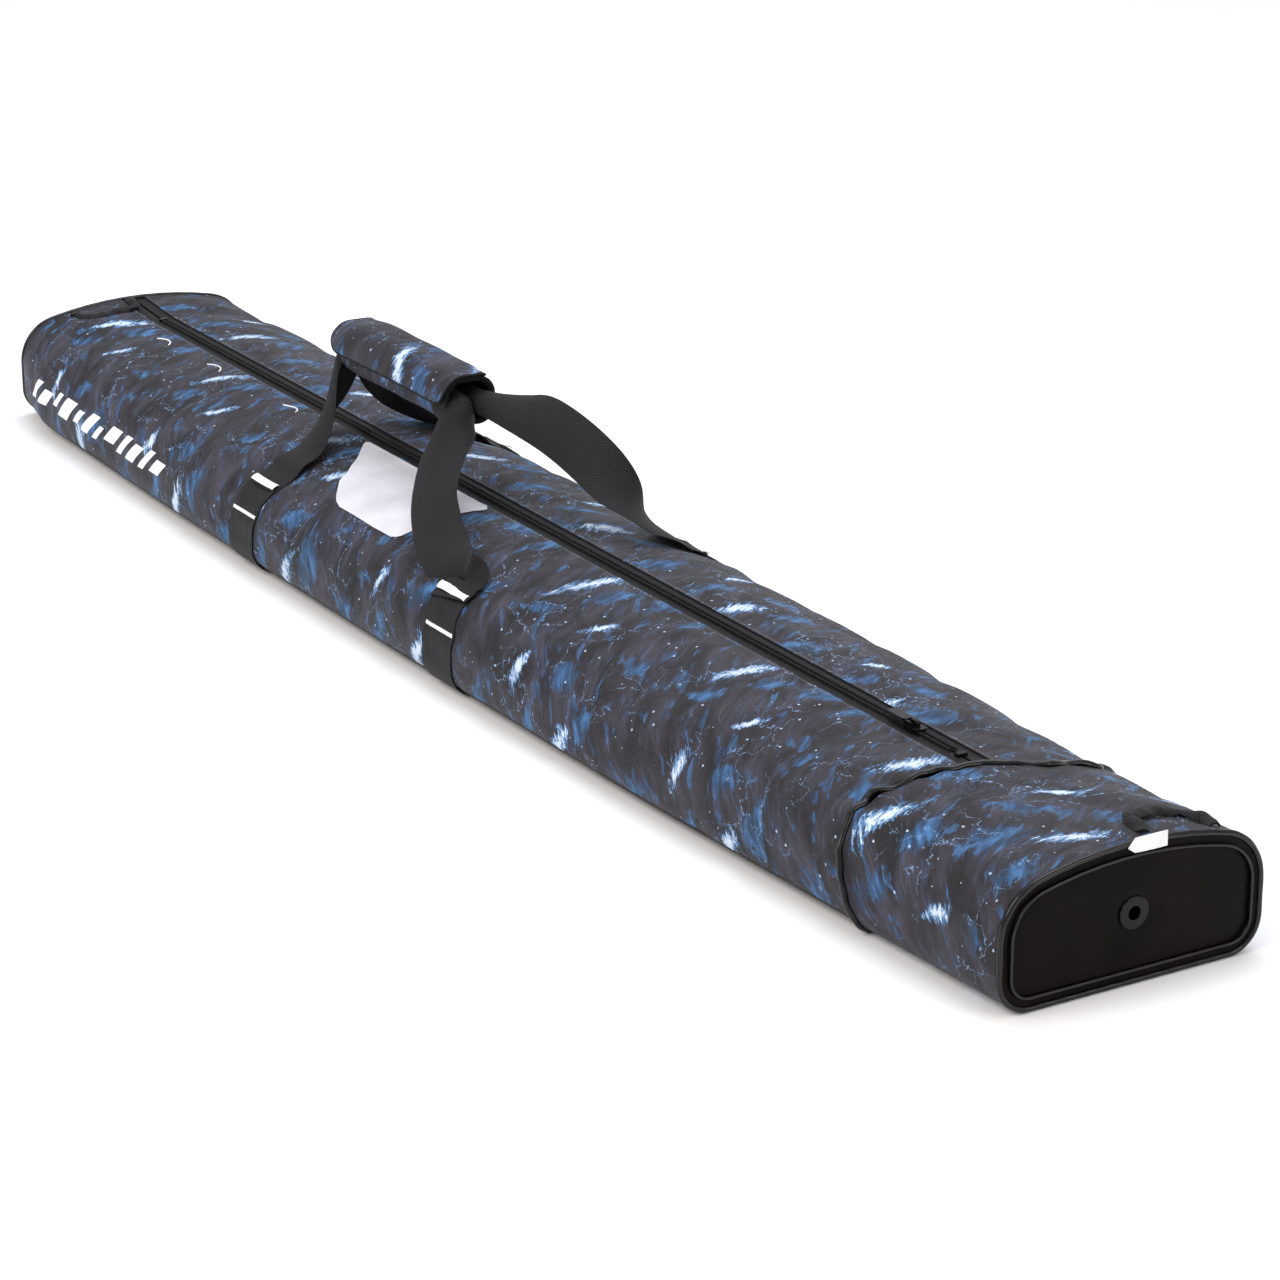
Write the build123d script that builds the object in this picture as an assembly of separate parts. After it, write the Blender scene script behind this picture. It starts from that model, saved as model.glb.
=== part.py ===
from build123d import *
import math
import os

# Ski bag lying on its bottom, for one pair of skis. Millimetres.
# Origin: middle of the length, on the surface that the bag lies on. +X runs to the end with the
# drain eyelet, -Y is the front (the side with the ID patch), +Z is up, through the zip.
os.makedirs("parts", exist_ok=True)

# ---- driving dimensions: the body -----------------------------------------------------------
BAG_LENGTH = 1750.0            # over the two end pipings
WIDTH_FAR_END = 256.0          # fabric width at the far end panel
WIDTH_MID = 300.0              # fabric width where the bag is fullest
WIDTH_NEAR_SEAM = 256.0        # fabric width at the seam of the near cuff
WIDTH_NEAR_END = 236.0         # fabric width at the near end panel
HEIGHT_BODY = 106.0            # top of the fabric along the zip
HEIGHT_ENDS = 112.0            # top of the fabric at the end panels
CUFF_LENGTH = 182.0            # printed cuff at the near end
SHOULDER_RADIUS = 45.0         # long round edge between side and top
BOTTOM_RADIUS = 28.0           # long round edge between side and bottom
SIDE_HEIGHT_BODY = 40.0        # where the shoulder's round starts, along the body
SIDE_HEIGHT_ENDS = 58.0        # the same at the stiffened end panels
SEAM_HEIGHT = 14.0             # bottom seam above the floor

# ---- driving dimensions: materials ----------------------------------------------------------
FABRIC = 1.2
FOAM = 5.0
LINING = 0.8
LAYER_GAP = 0.2                # air between two sewn layers
PIECE_GAP = 0.3                # between the edges of two panels
JOINT_GAP = 0.6                # between edges that move past each other
WEBBING_WIDTH = 50.0
WEBBING = 1.5
PIPING_RADIUS = 2.5
PIPING_DEPTH = 0.9             # centre of a seam piping below the fabric's outer face
RIDGE_RADIUS = 1.3             # stitched ridge inside the near end's piping
RIDGE_INSET = 10.0
BOARD = 4.0                    # foam board behind an end panel

# ---- driving dimensions: mouth and zip ------------------------------------------------------
MOUTH_NEAR = 560.0             # near end of the mouth, from the middle of the bag
MOUTH_FAR = -745.0             # far end of the mouth
HINGE_Y = 112.0                # where the top flaps fold, from the zip
TAPE_WIDTH = 20.0              # one zip tape, from the middle
TAPE_SHOWN = 13.0              # the part of it that the fabric leaves bare
TAPE = 0.8
TAPE_SLIT = 1.5                # half the slit between the two tapes
COIL_INNER = 1.3               # half the slit between the two coils
COIL_WIDTH = 2.3
COIL_HEIGHT = 2.4
SLIDER_X = 597.0               # slider with the bag closed
SLIDER_LENGTH = 20.0
SLIDER_WIDTH = 12.0
SLIDER_PLATE = 1.6
SLIDER_TRAVEL = 1372.0
PULL_LENGTH = 34.0
PULL_WIDTH = 8.0
PULL = 1.6

# ---- driving dimensions: straps, handle, loops ----------------------------------------------
FAR_STRAP_X = -291.0
NEAR_STRAP_X = 92.0
STRAP_TOP = 84.0               # where the strap ends and the carrying loop goes on
STRAP_LOWER_BAR = 58.0         # height of the lower bar tack
BAR_TACK = 2.6                 # a bar tack's width
BAR_TACK_HEIGHT = 0.6
GRIP_LENGTH = 217.0
GRIP_X = -223.0                # middle of the grip
GRIP_Z = 188.0
GRIP_WIDTH = 52.0
GRIP_HEIGHT = 46.0
GRIP_CORNER = 18.0
WRAP = 2.0                     # the grip's printed wrap
PAD = 8.0                      # the grip's foam
GRIP_WEB_FOLDS = 3             # the webbing is folded in three inside the grip
GRIP_WEB_APART = 2.0           # between the two webbings inside the grip
GRIP_FLAP_REACH = 14.0         # how far the closing flap hangs down the front
GRIP_FLAP_HINGE_Y = 14.0
PATCH = 0.8
PATCH_FAR_X = -300.0
PATCH_NEAR_X = -50.0
PATCH_CORNER = 10.0
LOOP_STRIP = 12.0              # width of a haul loop's gathered webbing
LOOP_THICK = 3.0
LOOP_REACH = 34.0
LOOP_SPAN = 72.0               # over the two feet of a haul loop
NEAR_LOOP_Y = 48.0
FAR_LOOP_Y = -40.0
EYELET_HOLE_RADIUS = 5.5
EYELET_RADIUS = 13.0
EYELET_HEIGHT = 57.0

# ---- worked out -----------------------------------------------------------------------------
BASE = WEBBING + LAYER_GAP                      # the bag lies on the straps that pass under it
END_X = BAG_LENGTH / 2
RING_X = END_X - PIPING_RADIUS                  # centre of an end piping
FABRIC_END = RING_X - PIPING_RADIUS - PIECE_GAP
SEAM_X = END_X - CUFF_LENGTH - 3.0              # seam between body and cuff
SEAM_HALF = PIPING_RADIUS + PIECE_GAP           # room for the piping, each side of the seam
FOAM_DEPTH = FABRIC + LAYER_GAP
LINING_DEPTH = FOAM_DEPTH + FOAM + LAYER_GAP
TAPE_DEPTH = FABRIC + LAYER_GAP
COIL_BASE = HEIGHT_BODY - TAPE_DEPTH + 0.1
COIL_TOP = COIL_BASE + COIL_HEIGHT
FLAP_GAP = JOINT_GAP / 2
GRIP_HOLLOW = GRIP_WIDTH / 2 - WRAP - LAYER_GAP - PAD - PIECE_GAP
GRIP_WEB_WIDTH = GRIP_HOLLOW - GRIP_WEB_APART / 2
GRIP_WEB_Y = (GRIP_WEB_APART + GRIP_WEB_WIDTH) / 2
FAR = 3000.0                                    # beyond everything

# station: x, width, height at the zip, height of the side below the shoulder's round
STATIONS = [
    (-END_X - 5, WIDTH_FAR_END, HEIGHT_ENDS, SIDE_HEIGHT_ENDS),
    (-END_X, WIDTH_FAR_END, HEIGHT_ENDS, SIDE_HEIGHT_ENDS),
    (-END_X + 80, WIDTH_FAR_END + 34, HEIGHT_BODY, SIDE_HEIGHT_BODY + 6),
    (-END_X + 425, WIDTH_MID + 4, HEIGHT_BODY, SIDE_HEIGHT_BODY),
    (0, WIDTH_MID, HEIGHT_BODY, SIDE_HEIGHT_BODY),
    (END_X - 455, WIDTH_MID - 16, HEIGHT_BODY, SIDE_HEIGHT_BODY),
    (SEAM_X, WIDTH_NEAR_SEAM, HEIGHT_BODY, SIDE_HEIGHT_BODY + 6),
    (END_X, WIDTH_NEAR_END, HEIGHT_ENDS, SIDE_HEIGHT_ENDS),
    (END_X + 5, WIDTH_NEAR_END, HEIGHT_ENDS, SIDE_HEIGHT_ENDS),
]


def save(part, name):
    """Write one sub-part, with its separate solids as they are."""
    solids = part.solids() if hasattr(part, "solids") else ShapeList(part)
    whole = solids[0] if len(solids) == 1 else Compound(list(solids))
    volume = sum(solid.volume for solid in solids)
    print(f"{name}: {len(solids)} solid(s), {volume / 1000:.1f} cm3")
    export_step(whole, f"parts/{name}.step")


def station_at(x):
    """Width, height and side height of the body at any x, between its stations."""
    for left, right in zip(STATIONS, STATIONS[1:]):
        if left[0] <= x <= right[0]:
            share = (x - left[0]) / (right[0] - left[0])
            return [a + share * (b - a) for a, b in zip(left[1:], right[1:])]
    return STATIONS[-1][1:]


def crown_radius(width, height, side):
    """Radius of the shallow arc over the top that meets both shoulder rounds smoothly."""
    a = width / 2 - SHOULDER_RADIUS
    b = side - height
    return (SHOULDER_RADIUS**2 - a**2 - b**2) / (2 * (b + SHOULDER_RADIUS))


def outline(x, inset, values=None):
    """Closed wire of the body's section at x, moved inwards by inset (outwards if negative)."""
    width, height, side = values or station_at(x)
    a = width / 2 - SHOULDER_RADIUS
    crown = crown_radius(width, height, side)
    centre = height - crown
    lean = math.hypot(a, side - centre)
    turn = (a / lean, (side - centre) / lean)
    shoulder = SHOULDER_RADIUS - inset
    corner = BOTTOM_RADIUS - inset
    half = width / 2 - inset
    floor = BASE + inset
    low = BASE + BOTTOM_RADIUS
    half_turn = math.atan2(turn[1], turn[0]) / 2
    tangent = (a + shoulder * turn[0], side + shoulder * turn[1])
    middle = (a + shoulder * math.cos(half_turn), side + shoulder * math.sin(half_turn))
    foot = width / 2 - BOTTOM_RADIUS
    bend = corner * math.sqrt(0.5)

    def at(y, z):
        return Vector(x, y, z)

    edges = [
        Edge.make_line(at(-foot, floor), at(foot, floor)),
        Edge.make_three_point_arc(at(foot, floor), at(foot + bend, low - bend), at(half, low)),
        Edge.make_line(at(half, low), at(half, side)),
        Edge.make_three_point_arc(at(half, side), at(*middle), at(*tangent)),
        Edge.make_three_point_arc(at(*tangent), at(0, height - inset), at(-tangent[0], tangent[1])),
        Edge.make_three_point_arc(at(-tangent[0], tangent[1]), at(-middle[0], middle[1]),
                                  at(-half, side)),
        Edge.make_line(at(-half, side), at(-half, low)),
        Edge.make_three_point_arc(at(-half, low), at(-foot - bend, low - bend), at(-foot, floor)),
    ]
    return Wire(edges)


def body(inset):
    """The whole body, as a closed solid, moved inwards by inset."""
    return Solid.make_loft([outline(s[0], inset, s[1:]) for s in STATIONS], ruled=True)


def layer(outer, inner):
    """Tube between two depths below the fabric's outer face."""
    return body(outer) - body(inner)


def region(x0, x1, y0=-FAR, y1=FAR, z0=-FAR, z1=FAR):
    """Block between three pairs of planes."""
    size = (x1 - x0, y1 - y0, z1 - z0)
    return Pos((x0 + x1) / 2, (y0 + y1) / 2, (z0 + z1) / 2) * Box(*size)


def both(part):
    """A piece and its mirror image on the other side of the zip."""
    return Compound(list(part.solids()) + list(part.mirror(Plane.XZ).solids()))


def surface_z(x, y, lift=0.0):
    """Height of the fabric's outer face on the top or the shoulder at x, y, plus lift outwards."""
    width, height, side = station_at(x)
    a = width / 2 - SHOULDER_RADIUS
    crown = crown_radius(width, height, side)
    centre = height - crown
    lean = math.hypot(a, side - centre)
    if abs(y) <= (crown + lift) * a / lean:
        return centre + math.sqrt((crown + lift) ** 2 - y**2)
    return side + math.sqrt(max((SHOULDER_RADIUS + lift) ** 2 - (abs(y) - a) ** 2, 0))


def shoulder_y(x, z, lift=0.0):
    """Distance from the middle of the fabric's outer face on the shoulder at x, z, plus lift."""
    width, height, side = station_at(x)
    return width / 2 - SHOULDER_RADIUS + math.sqrt((SHOULDER_RADIUS + lift) ** 2 - max(z - side, 0) ** 2)


FABRIC_LAYER = layer(0, FABRIC)
FOAM_LAYER = layer(FOAM_DEPTH, FOAM_DEPTH + FOAM)
LINING_LAYER = layer(LINING_DEPTH, LINING_DEPTH + LINING)
TAPE_LAYER = layer(TAPE_DEPTH, TAPE_DEPTH + TAPE)
STRAP_LAYER = layer(-LAYER_GAP - WEBBING, -LAYER_GAP)
BODY_NEAR = SEAM_X - SEAM_HALF
CUFF_FAR = SEAM_X + SEAM_HALF
HIDDEN_END = FABRIC_END - BOARD - 2.0


def make_body_panels():
    """Bottom, sides and the closed stretches of the top beyond the mouth."""
    side_edge = HINGE_Y + FLAP_GAP
    seam = SEAM_HEIGHT + PIECE_GAP
    save(FABRIC_LAYER & region(-FABRIC_END, BODY_NEAR, z1=SEAM_HEIGHT), "bottom_panel")
    save(FABRIC_LAYER & region(-FABRIC_END, BODY_NEAR, y1=-side_edge, z0=seam), "front_side_panel")
    save(FABRIC_LAYER & region(-FABRIC_END, BODY_NEAR, y0=side_edge, z0=seam), "back_side_panel")
    top_edge = HINGE_Y - FLAP_GAP
    near = FABRIC_LAYER & region(MOUTH_NEAR + FLAP_GAP, BODY_NEAR, TAPE_SHOWN, top_edge, z0=SEAM_HEIGHT * 4)
    far = FABRIC_LAYER & region(-FABRIC_END, MOUTH_FAR - FLAP_GAP, TAPE_SHOWN, top_edge, z0=SEAM_HEIGHT * 4)
    save(both(near), "near_top_panel")
    save(both(far), "far_top_panel")


def make_padding():
    """Foam under the bottom and the sides, and the lining that is sewn as one trough inside it."""
    side_edge = HINGE_Y + FLAP_GAP
    seam = SEAM_HEIGHT + PIECE_GAP
    save(FOAM_LAYER & region(-HIDDEN_END, BODY_NEAR, z1=SEAM_HEIGHT), "bottom_foam")
    save(FOAM_LAYER & region(-HIDDEN_END, BODY_NEAR, y1=-side_edge, z0=seam), "front_foam")
    save(FOAM_LAYER & region(-HIDDEN_END, BODY_NEAR, y0=side_edge, z0=seam), "back_foam")
    opening = region(MOUTH_FAR, MOUTH_NEAR, -side_edge, side_edge, z0=SEAM_HEIGHT * 4)
    save((LINING_LAYER & region(-HIDDEN_END, HIDDEN_END)) - opening, "lining")


def make_cuff():
    """Printed cuff of the near end: two sides, top and its stretch of the bottom."""
    split = WIDTH_NEAR_END / 2 - SHOULDER_RADIUS + 7
    seam = SEAM_HEIGHT + PIECE_GAP
    save(FABRIC_LAYER & region(CUFF_FAR, FABRIC_END, y1=-split, z0=seam), "cuff_front")
    save(FABRIC_LAYER & region(CUFF_FAR, FABRIC_END, y0=split, z0=seam), "cuff_back")
    top = region(CUFF_FAR, FABRIC_END, -split + PIECE_GAP, split - PIECE_GAP, z0=SEAM_HEIGHT * 4)
    save(FABRIC_LAYER & top, "cuff_top")
    save(FABRIC_LAYER & region(CUFF_FAR, FABRIC_END, z1=SEAM_HEIGHT), "cuff_bottom")


def ring(x, inset, radius):
    """Round piping that follows the body's section at x."""
    path = outline(x, inset)
    start = path.edges()[0] @ 0
    profile = Plane(origin=start, z_dir=path.edges()[0] % 0) * Circle(radius)
    return sweep(profile, path=path)


def end_plate(x0, x1, inset):
    """Flat plate with the outline of the nearest end, between x0 and x1."""
    face = Face(outline(x0, inset, station_at(math.copysign(END_X, x0))))
    return extrude(face, amount=x1 - x0, dir=(1, 0, 0))


def make_ends():
    """End panels, their foam boards, pipings and the drain eyelet."""
    clear = PIPING_DEPTH + PIPING_RADIUS + PIECE_GAP
    panel_x = RING_X - FABRIC / 2
    hole = Pos(panel_x, 0, EYELET_HEIGHT) * Rot(0, 90, 0) * Cylinder(EYELET_HOLE_RADIUS + 1.2, 40)
    save(end_plate(panel_x, panel_x + FABRIC, clear) - hole, "near_end_panel")
    save(end_plate(-panel_x - FABRIC, -panel_x, clear), "far_end_panel")
    board_out = panel_x - PIECE_GAP
    board_in = board_out - BOARD
    save(end_plate(board_in, board_out, clear + 1) - hole, "near_end_board")
    save(end_plate(-board_out, -board_in, clear + 1), "far_end_board")
    save(ring(RING_X, PIPING_DEPTH, PIPING_RADIUS), "near_end_piping")
    save(ring(-RING_X, PIPING_DEPTH, PIPING_RADIUS), "far_end_piping")
    save(ring(SEAM_X, PIPING_DEPTH, PIPING_RADIUS), "cuff_seam_piping")
    ridge_x = panel_x + FABRIC + RIDGE_RADIUS + 0.05
    save(ring(ridge_x, RIDGE_INSET, RIDGE_RADIUS), "near_end_ridge")
    make_eyelet(panel_x, board_in)


def make_eyelet(panel_x, board_in):
    """Drain eyelet: a flanged barrel through the end panel, and the washer that it is set against."""
    wall = 1.0
    flange = 1.6
    outer = EYELET_HOLE_RADIUS + wall
    out_x = panel_x + FABRIC + 0.05
    turn = Rot(0, 90, 0)
    middle = Pos(0, 0, EYELET_HEIGHT)
    washer_x = board_in - 0.1 - flange / 2
    barrel_end = board_in - 0.2 - flange
    flange_disc = Pos(out_x + flange / 2, 0, 0) * turn * Cylinder(EYELET_RADIUS, flange)
    flange_disc = fillet(flange_disc.edges().group_by(Axis.X)[-1], flange * 0.6)
    length = out_x + flange - barrel_end
    barrel = Pos(barrel_end + length / 2, 0, 0) * turn * Cylinder(outer, length)
    bore = Pos(out_x, 0, 0) * turn * Cylinder(EYELET_HOLE_RADIUS, 60)
    washer = Pos(washer_x, 0, 0) * turn * (Cylinder(EYELET_RADIUS, flange) - Cylinder(outer + 0.1, flange))
    save(middle * (flange_disc + barrel - bore), "drain_eyelet")
    save(middle * washer, "drain_washer")


def make_flap(name, sign):
    """One half of the top: fabric, foam, lining, zip tape and coil, as one hinged piece."""
    x0 = MOUTH_FAR + FLAP_GAP
    x1 = MOUTH_NEAR - FLAP_GAP

    def strip(stuff, y0, y1):
        area = region(x0, x1, y0, y1, z0=SEAM_HEIGHT * 4)
        part = stuff & area
        return part if sign > 0 else part.mirror(Plane.XZ)

    hinge = HINGE_Y - FLAP_GAP
    inner = TAPE_WIDTH + 0.5
    save(strip(FABRIC_LAYER, TAPE_SHOWN, hinge), f"{name}_top_flap")
    save(strip(FOAM_LAYER, inner, hinge), f"{name}_flap_foam")
    save(strip(LINING_LAYER, inner, hinge), f"{name}_flap_lining")
    save(strip(TAPE_LAYER, TAPE_SLIT, TAPE_WIDTH), f"{name}_zip_tape")
    save(coil(x0, x1, sign), f"{name}_zip_coil")


def coil(x0, x1, sign=1):
    """Outer shape of one side's zip coil, on top of its tape."""
    y = sign * (COIL_INNER + COIL_WIDTH / 2)
    solid = Pos((x0 + x1) / 2, y, COIL_BASE + COIL_HEIGHT / 2) * Box(x1 - x0, COIL_WIDTH, COIL_HEIGHT)
    return fillet(solid.edges().filter_by(Axis.X).group_by(Axis.Z)[-1], COIL_WIDTH * 0.3)


def make_fixed_zip():
    """The zip beyond the two ends of the mouth, where its halves never part."""
    near_stop_x = SEAM_X - 32
    far_stop_x = SLIDER_X - SLIDER_TRAVEL - 16
    spans = (
        ("near", MOUTH_NEAR + FLAP_GAP, BODY_NEAR, near_stop_x),
        ("far", -FABRIC_END, MOUTH_FAR - FLAP_GAP, far_stop_x),
    )
    tapes = []
    coils = []
    stops = []
    for name, x0, x1, stop_x in spans:
        area = region(x0, x1, TAPE_SLIT, TAPE_WIDTH, z0=SEAM_HEIGHT * 4)
        tapes.extend(both(TAPE_LAYER & area).solids())
        rail = (x0, stop_x - 3) if name == "near" else (stop_x + 3, x1)
        coils.extend(both(coil(*rail)).solids())
        stop = Pos(stop_x, 0, COIL_BASE + COIL_HEIGHT / 2 + 0.2) * Box(5, 9, COIL_HEIGHT + 0.4)
        stops.extend(fillet(stop.edges().group_by(Axis.Z)[-1], 0.8).solids())
    save(Compound(tapes), "closed_zip_tapes")
    save(Compound(coils), "closed_zip_coils")
    save(Compound(stops), "zip_stops")


def make_slider():
    """Slider body: two plates joined by a post between the coils, and a bridge for the pull."""
    gap = 0.3
    top_z = COIL_TOP + gap + SLIDER_PLATE / 2
    low_z = COIL_BASE - 0.1 - TAPE - gap - SLIDER_PLATE / 2
    plate = Box(SLIDER_LENGTH, SLIDER_WIDTH, SLIDER_PLATE)
    plate = fillet(plate.edges().filter_by(Axis.Z), SLIDER_WIDTH * 0.3)
    post = Pos(0, 0, (top_z + low_z) / 2) * Box(4, 1.6, top_z - low_z)
    arch_z = top_z + SLIDER_PLATE / 2
    arch_tall = 5.0
    arch = Pos(0, 0, arch_z + arch_tall / 2) * Box(9, 3.2, arch_tall)
    arch = fillet(arch.edges().filter_by(Axis.Y).group_by(Axis.Z)[-1], 2.2)
    eye_tall = 3.6
    eye = Pos(0, 0, arch_z + eye_tall / 2) * Box(5, 6, eye_tall)
    slider = Pos(0, 0, top_z) * plate + Pos(0, 0, low_z) * plate + post + (arch - eye)
    save(Pos(SLIDER_X, 0, 0) * slider, "zip_slider")
    make_pull(arch_z + eye_tall / 2)


def make_pull(z):
    """Pull: a wire link through the slider's bridge, and the moulded tab that it carries."""
    link_long = 13.0
    link = Box(link_long, PULL_WIDTH, PULL) - Box(link_long - 4, PULL_WIDTH - 4, PULL)
    link_x = SLIDER_X + 1.8 - link_long / 2
    link = Pos(link_x, 0, z) * fillet(link.edges().filter_by(Axis.Z).group_by(Axis.X)[0], 0.9)
    save(link, "pull_link")
    tab_long = PULL_LENGTH - link_long + 3
    tab = Box(tab_long, PULL_WIDTH + 1, PULL + 1.2)
    tab = fillet(tab.edges().filter_by(Axis.Z), 2.5)
    groove = Pos(tab_long / 2 - 1.4, 0, 0) * Box(3.2, PULL_WIDTH + 2, PULL + 0.4)
    tab_x = link_x - link_long / 2 - tab_long / 2 + 2.4
    save(Pos(tab_x, 0, z) * (tab - groove), "pull_tab")


def make_straps():
    """Webbing straps round the bottom and the sides, with a pair of bar tacks on each side."""
    tack_layer = layer(-LAYER_GAP - WEBBING - BAR_TACK_HEIGHT, -LAYER_GAP - WEBBING)
    bars = []
    for name, x in (("far", FAR_STRAP_X), ("near", NEAR_STRAP_X)):
        half = WEBBING_WIDTH / 2
        save(STRAP_LAYER & region(x - half, x + half, z1=STRAP_TOP), f"{name}_strap")
        inner = half - 2
        for z in (STRAP_LOWER_BAR, STRAP_TOP - BAR_TACK):
            for y0, y1 in ((-FAR, 0), (0, FAR)):
                bar = tack_layer & region(x - inner, x + inner, y0, y1, z - BAR_TACK / 2, z + BAR_TACK / 2)
                bars.extend(bar.solids())
    save(Compound(bars), "strap_bar_tacks")


def strip(stations, thick):
    """Flat webbing through stations: middle, direction across, direction through, width."""
    wires = []
    for middle, across, through, width in stations:
        centre = Vector(*middle)
        side = Vector(*across).normalized() * (width / 2)
        face = Vector(*through).normalized() * (thick / 2)
        corners = [centre - side - face, centre + side - face, centre + side + face, centre - side + face]
        wires.append(Wire.make_polygon(corners, close=True))
    return Solid.make_loft(wires, ruled=True)


def make_leg(name, sign, strap_x, grip_end):
    """One free end of a carrying loop, from its bar tack over the top flap up into the grip."""
    rise = WEBBING + LAYER_GAP + JOINT_GAP
    foot_z = STRAP_TOP + JOINT_GAP
    foot_y = shoulder_y(strap_x, foot_z, rise)
    over_x = strap_x + 0.2 * (grip_end - strap_x)
    over_y = 80.0
    over_z = surface_z(over_x, over_y, rise) + 6.0
    away = math.copysign(1.0, grip_end - GRIP_X)
    mouth_x = grip_end + away * 7.0
    mouth_y = sign * GRIP_WEB_Y
    low_across = (0.8, -sign * away * 0.6, 0)
    stations = [
        ((strap_x, sign * foot_y, foot_z), (1, 0, 0), (0, sign * 0.7, 0.7), WEBBING_WIDTH),
        ((over_x, sign * over_y, over_z), (1, 0, 0), (0, sign * 0.4, 0.9), WEBBING_WIDTH),
        ((mouth_x + 20 * away, sign * 34, GRIP_Z - 34), low_across, (0, sign * 0.6, 0.8), 0.8 * WEBBING_WIDTH),
        ((mouth_x, mouth_y, GRIP_Z - 2), (0, 1, 0), (away * 0.5, 0, 0.9), GRIP_WEB_WIDTH),
        ((grip_end + away * JOINT_GAP, mouth_y, GRIP_Z), (0, 1, 0), (0, 0, 1), GRIP_WEB_WIDTH),
    ]
    save(strip(stations, WEBBING), name)


def grip_section(x, grow, width=None, height=None):
    """Rounded section of the grip, grown outwards by grow."""
    plane = Plane(origin=(x, 0, GRIP_Z), x_dir=(0, 1, 0), z_dir=(1, 0, 0))
    wide = GRIP_WIDTH + 2 * grow
    tall = GRIP_HEIGHT + 2 * grow
    return plane * RectangleRounded(wide, tall, GRIP_CORNER + grow)


def grip_sleeve(x0, x1, outer, inner):
    """Sleeve along the grip between two offsets from the wrap's outer face."""
    return extrude(grip_section(x0, outer) - grip_section(x0, inner), amount=x1 - x0, dir=(1, 0, 0))


def make_grip():
    """Grip: printed wrap, foam pad, the two carrying loops that run through it, and the closing flap."""
    x0 = GRIP_X - GRIP_LENGTH / 2
    x1 = GRIP_X + GRIP_LENGTH / 2
    half_tall = GRIP_HEIGHT / 2
    slit_z = GRIP_Z + half_tall * 0.3
    slit = region(x0 - 1, x1 + 1, -FAR, -GRIP_WIDTH / 4, slit_z, slit_z + 2)
    save(grip_sleeve(x0, x1, 0, -WRAP) - slit, "grip_wrap")
    pad_out = -WRAP - LAYER_GAP
    save(grip_sleeve(x0 + 4, x1 - 4, pad_out, pad_out - PAD) - slit, "grip_pad")
    for name, sign in (("front", -1), ("back", 1)):
        web = Box(GRIP_LENGTH, GRIP_WEB_WIDTH, GRIP_WEB_FOLDS * WEBBING)
        save(Pos(GRIP_X, sign * GRIP_WEB_Y, GRIP_Z) * web, f"{name}_loop_in_grip")
        make_leg(f"{name}_loop_far_leg", sign, FAR_STRAP_X, x0)
        make_leg(f"{name}_loop_near_leg", sign, NEAR_STRAP_X, x1)
    make_grip_flap(x0, x1)


def make_grip_flap(x0, x1):
    """Closing flap over the grip's top and front, with its hook strip and the wrap's loop strip."""
    fuzzy = 0.9
    top = GRIP_Z + GRIP_HEIGHT / 2
    face_low = top - GRIP_FLAP_REACH - 8
    strip_area = region(x0 + 14, x1 - 14, -FAR, -GRIP_WIDTH / 2 + 4, face_low + 3, top - 6)
    loop = grip_sleeve(x0, x1, PIECE_GAP + fuzzy, PIECE_GAP) & strip_area
    save(loop, "grip_loop_strip")
    hook_in = 2 * PIECE_GAP + fuzzy
    hook = grip_sleeve(x0, x1, hook_in + fuzzy, hook_in) & strip_area
    save(hook, "grip_hook_strip")
    flap_in = hook_in + fuzzy + LAYER_GAP
    cover = region(x0 - 3, x1 + 3, -FAR, GRIP_FLAP_HINGE_Y, face_low, FAR)
    save(grip_sleeve(x0 - 3, x1 + 3, flap_in + WRAP, flap_in) & cover, "grip_flap")


def make_id_patch():
    """White ID patch on the front top flap, with a slanted far side."""
    outer = layer(-LAYER_GAP - PATCH, -LAYER_GAP)
    low = -HINGE_Y + 4
    high = -TAPE_SHOWN - 3
    corners = [
        (PATCH_FAR_X, high),
        (PATCH_FAR_X + 0.3 * (PATCH_NEAR_X - PATCH_FAR_X), high + 0.62 * (low - high)),
        (PATCH_FAR_X + 0.5 * (PATCH_NEAR_X - PATCH_FAR_X), low),
        (PATCH_NEAR_X, low),
        (PATCH_NEAR_X, high),
    ]
    shape = make_face(Polyline(*corners, close=True))
    shape = fillet(shape.vertices(), PATCH_CORNER)
    column = extrude(Pos(0, 0, SEAM_HEIGHT * 4) * shape, amount=100)
    save(outer & column, "id_patch")


def make_haul_loop(name, x, towards, y):
    """Gathered webbing loop that lies on the top by an end panel."""
    z = surface_z(x, 0) + PIECE_GAP + LOOP_THICK / 2
    reach = towards * LOOP_REACH
    frame = Box(LOOP_REACH, LOOP_SPAN, LOOP_THICK)
    hole = Pos(-towards * LOOP_STRIP / 2, 0, 0) * Box(LOOP_REACH, LOOP_SPAN - 2 * LOOP_STRIP, LOOP_THICK)
    loop = frame - hole
    corner_edges = loop.edges().filter_by(Axis.Z).group_by(Axis.X)[-1 if towards > 0 else 0]
    loop = fillet(corner_edges, LOOP_STRIP * 0.6)
    save(Pos(x + reach / 2, y, z) * loop, f"{name}_haul_loop")


def make_care_tag():
    """White tag sewn in the near end's top seam, hanging over the piping."""
    x = END_X + 0.3
    outline_points = [(-9, 109), (-3, 104.5), (26, 104.5), (26, 117), (-3, 117)]
    face = make_face(Polyline(*outline_points, close=True))
    face = fillet(face.vertices().sort_by(Axis.X)[-2:], 4)
    plate = extrude(Plane(origin=(x, 0, 0), x_dir=(0, 1, 0), z_dir=(1, 0, 0)) * face, amount=0.6)
    save(plate, "care_tag")


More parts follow.
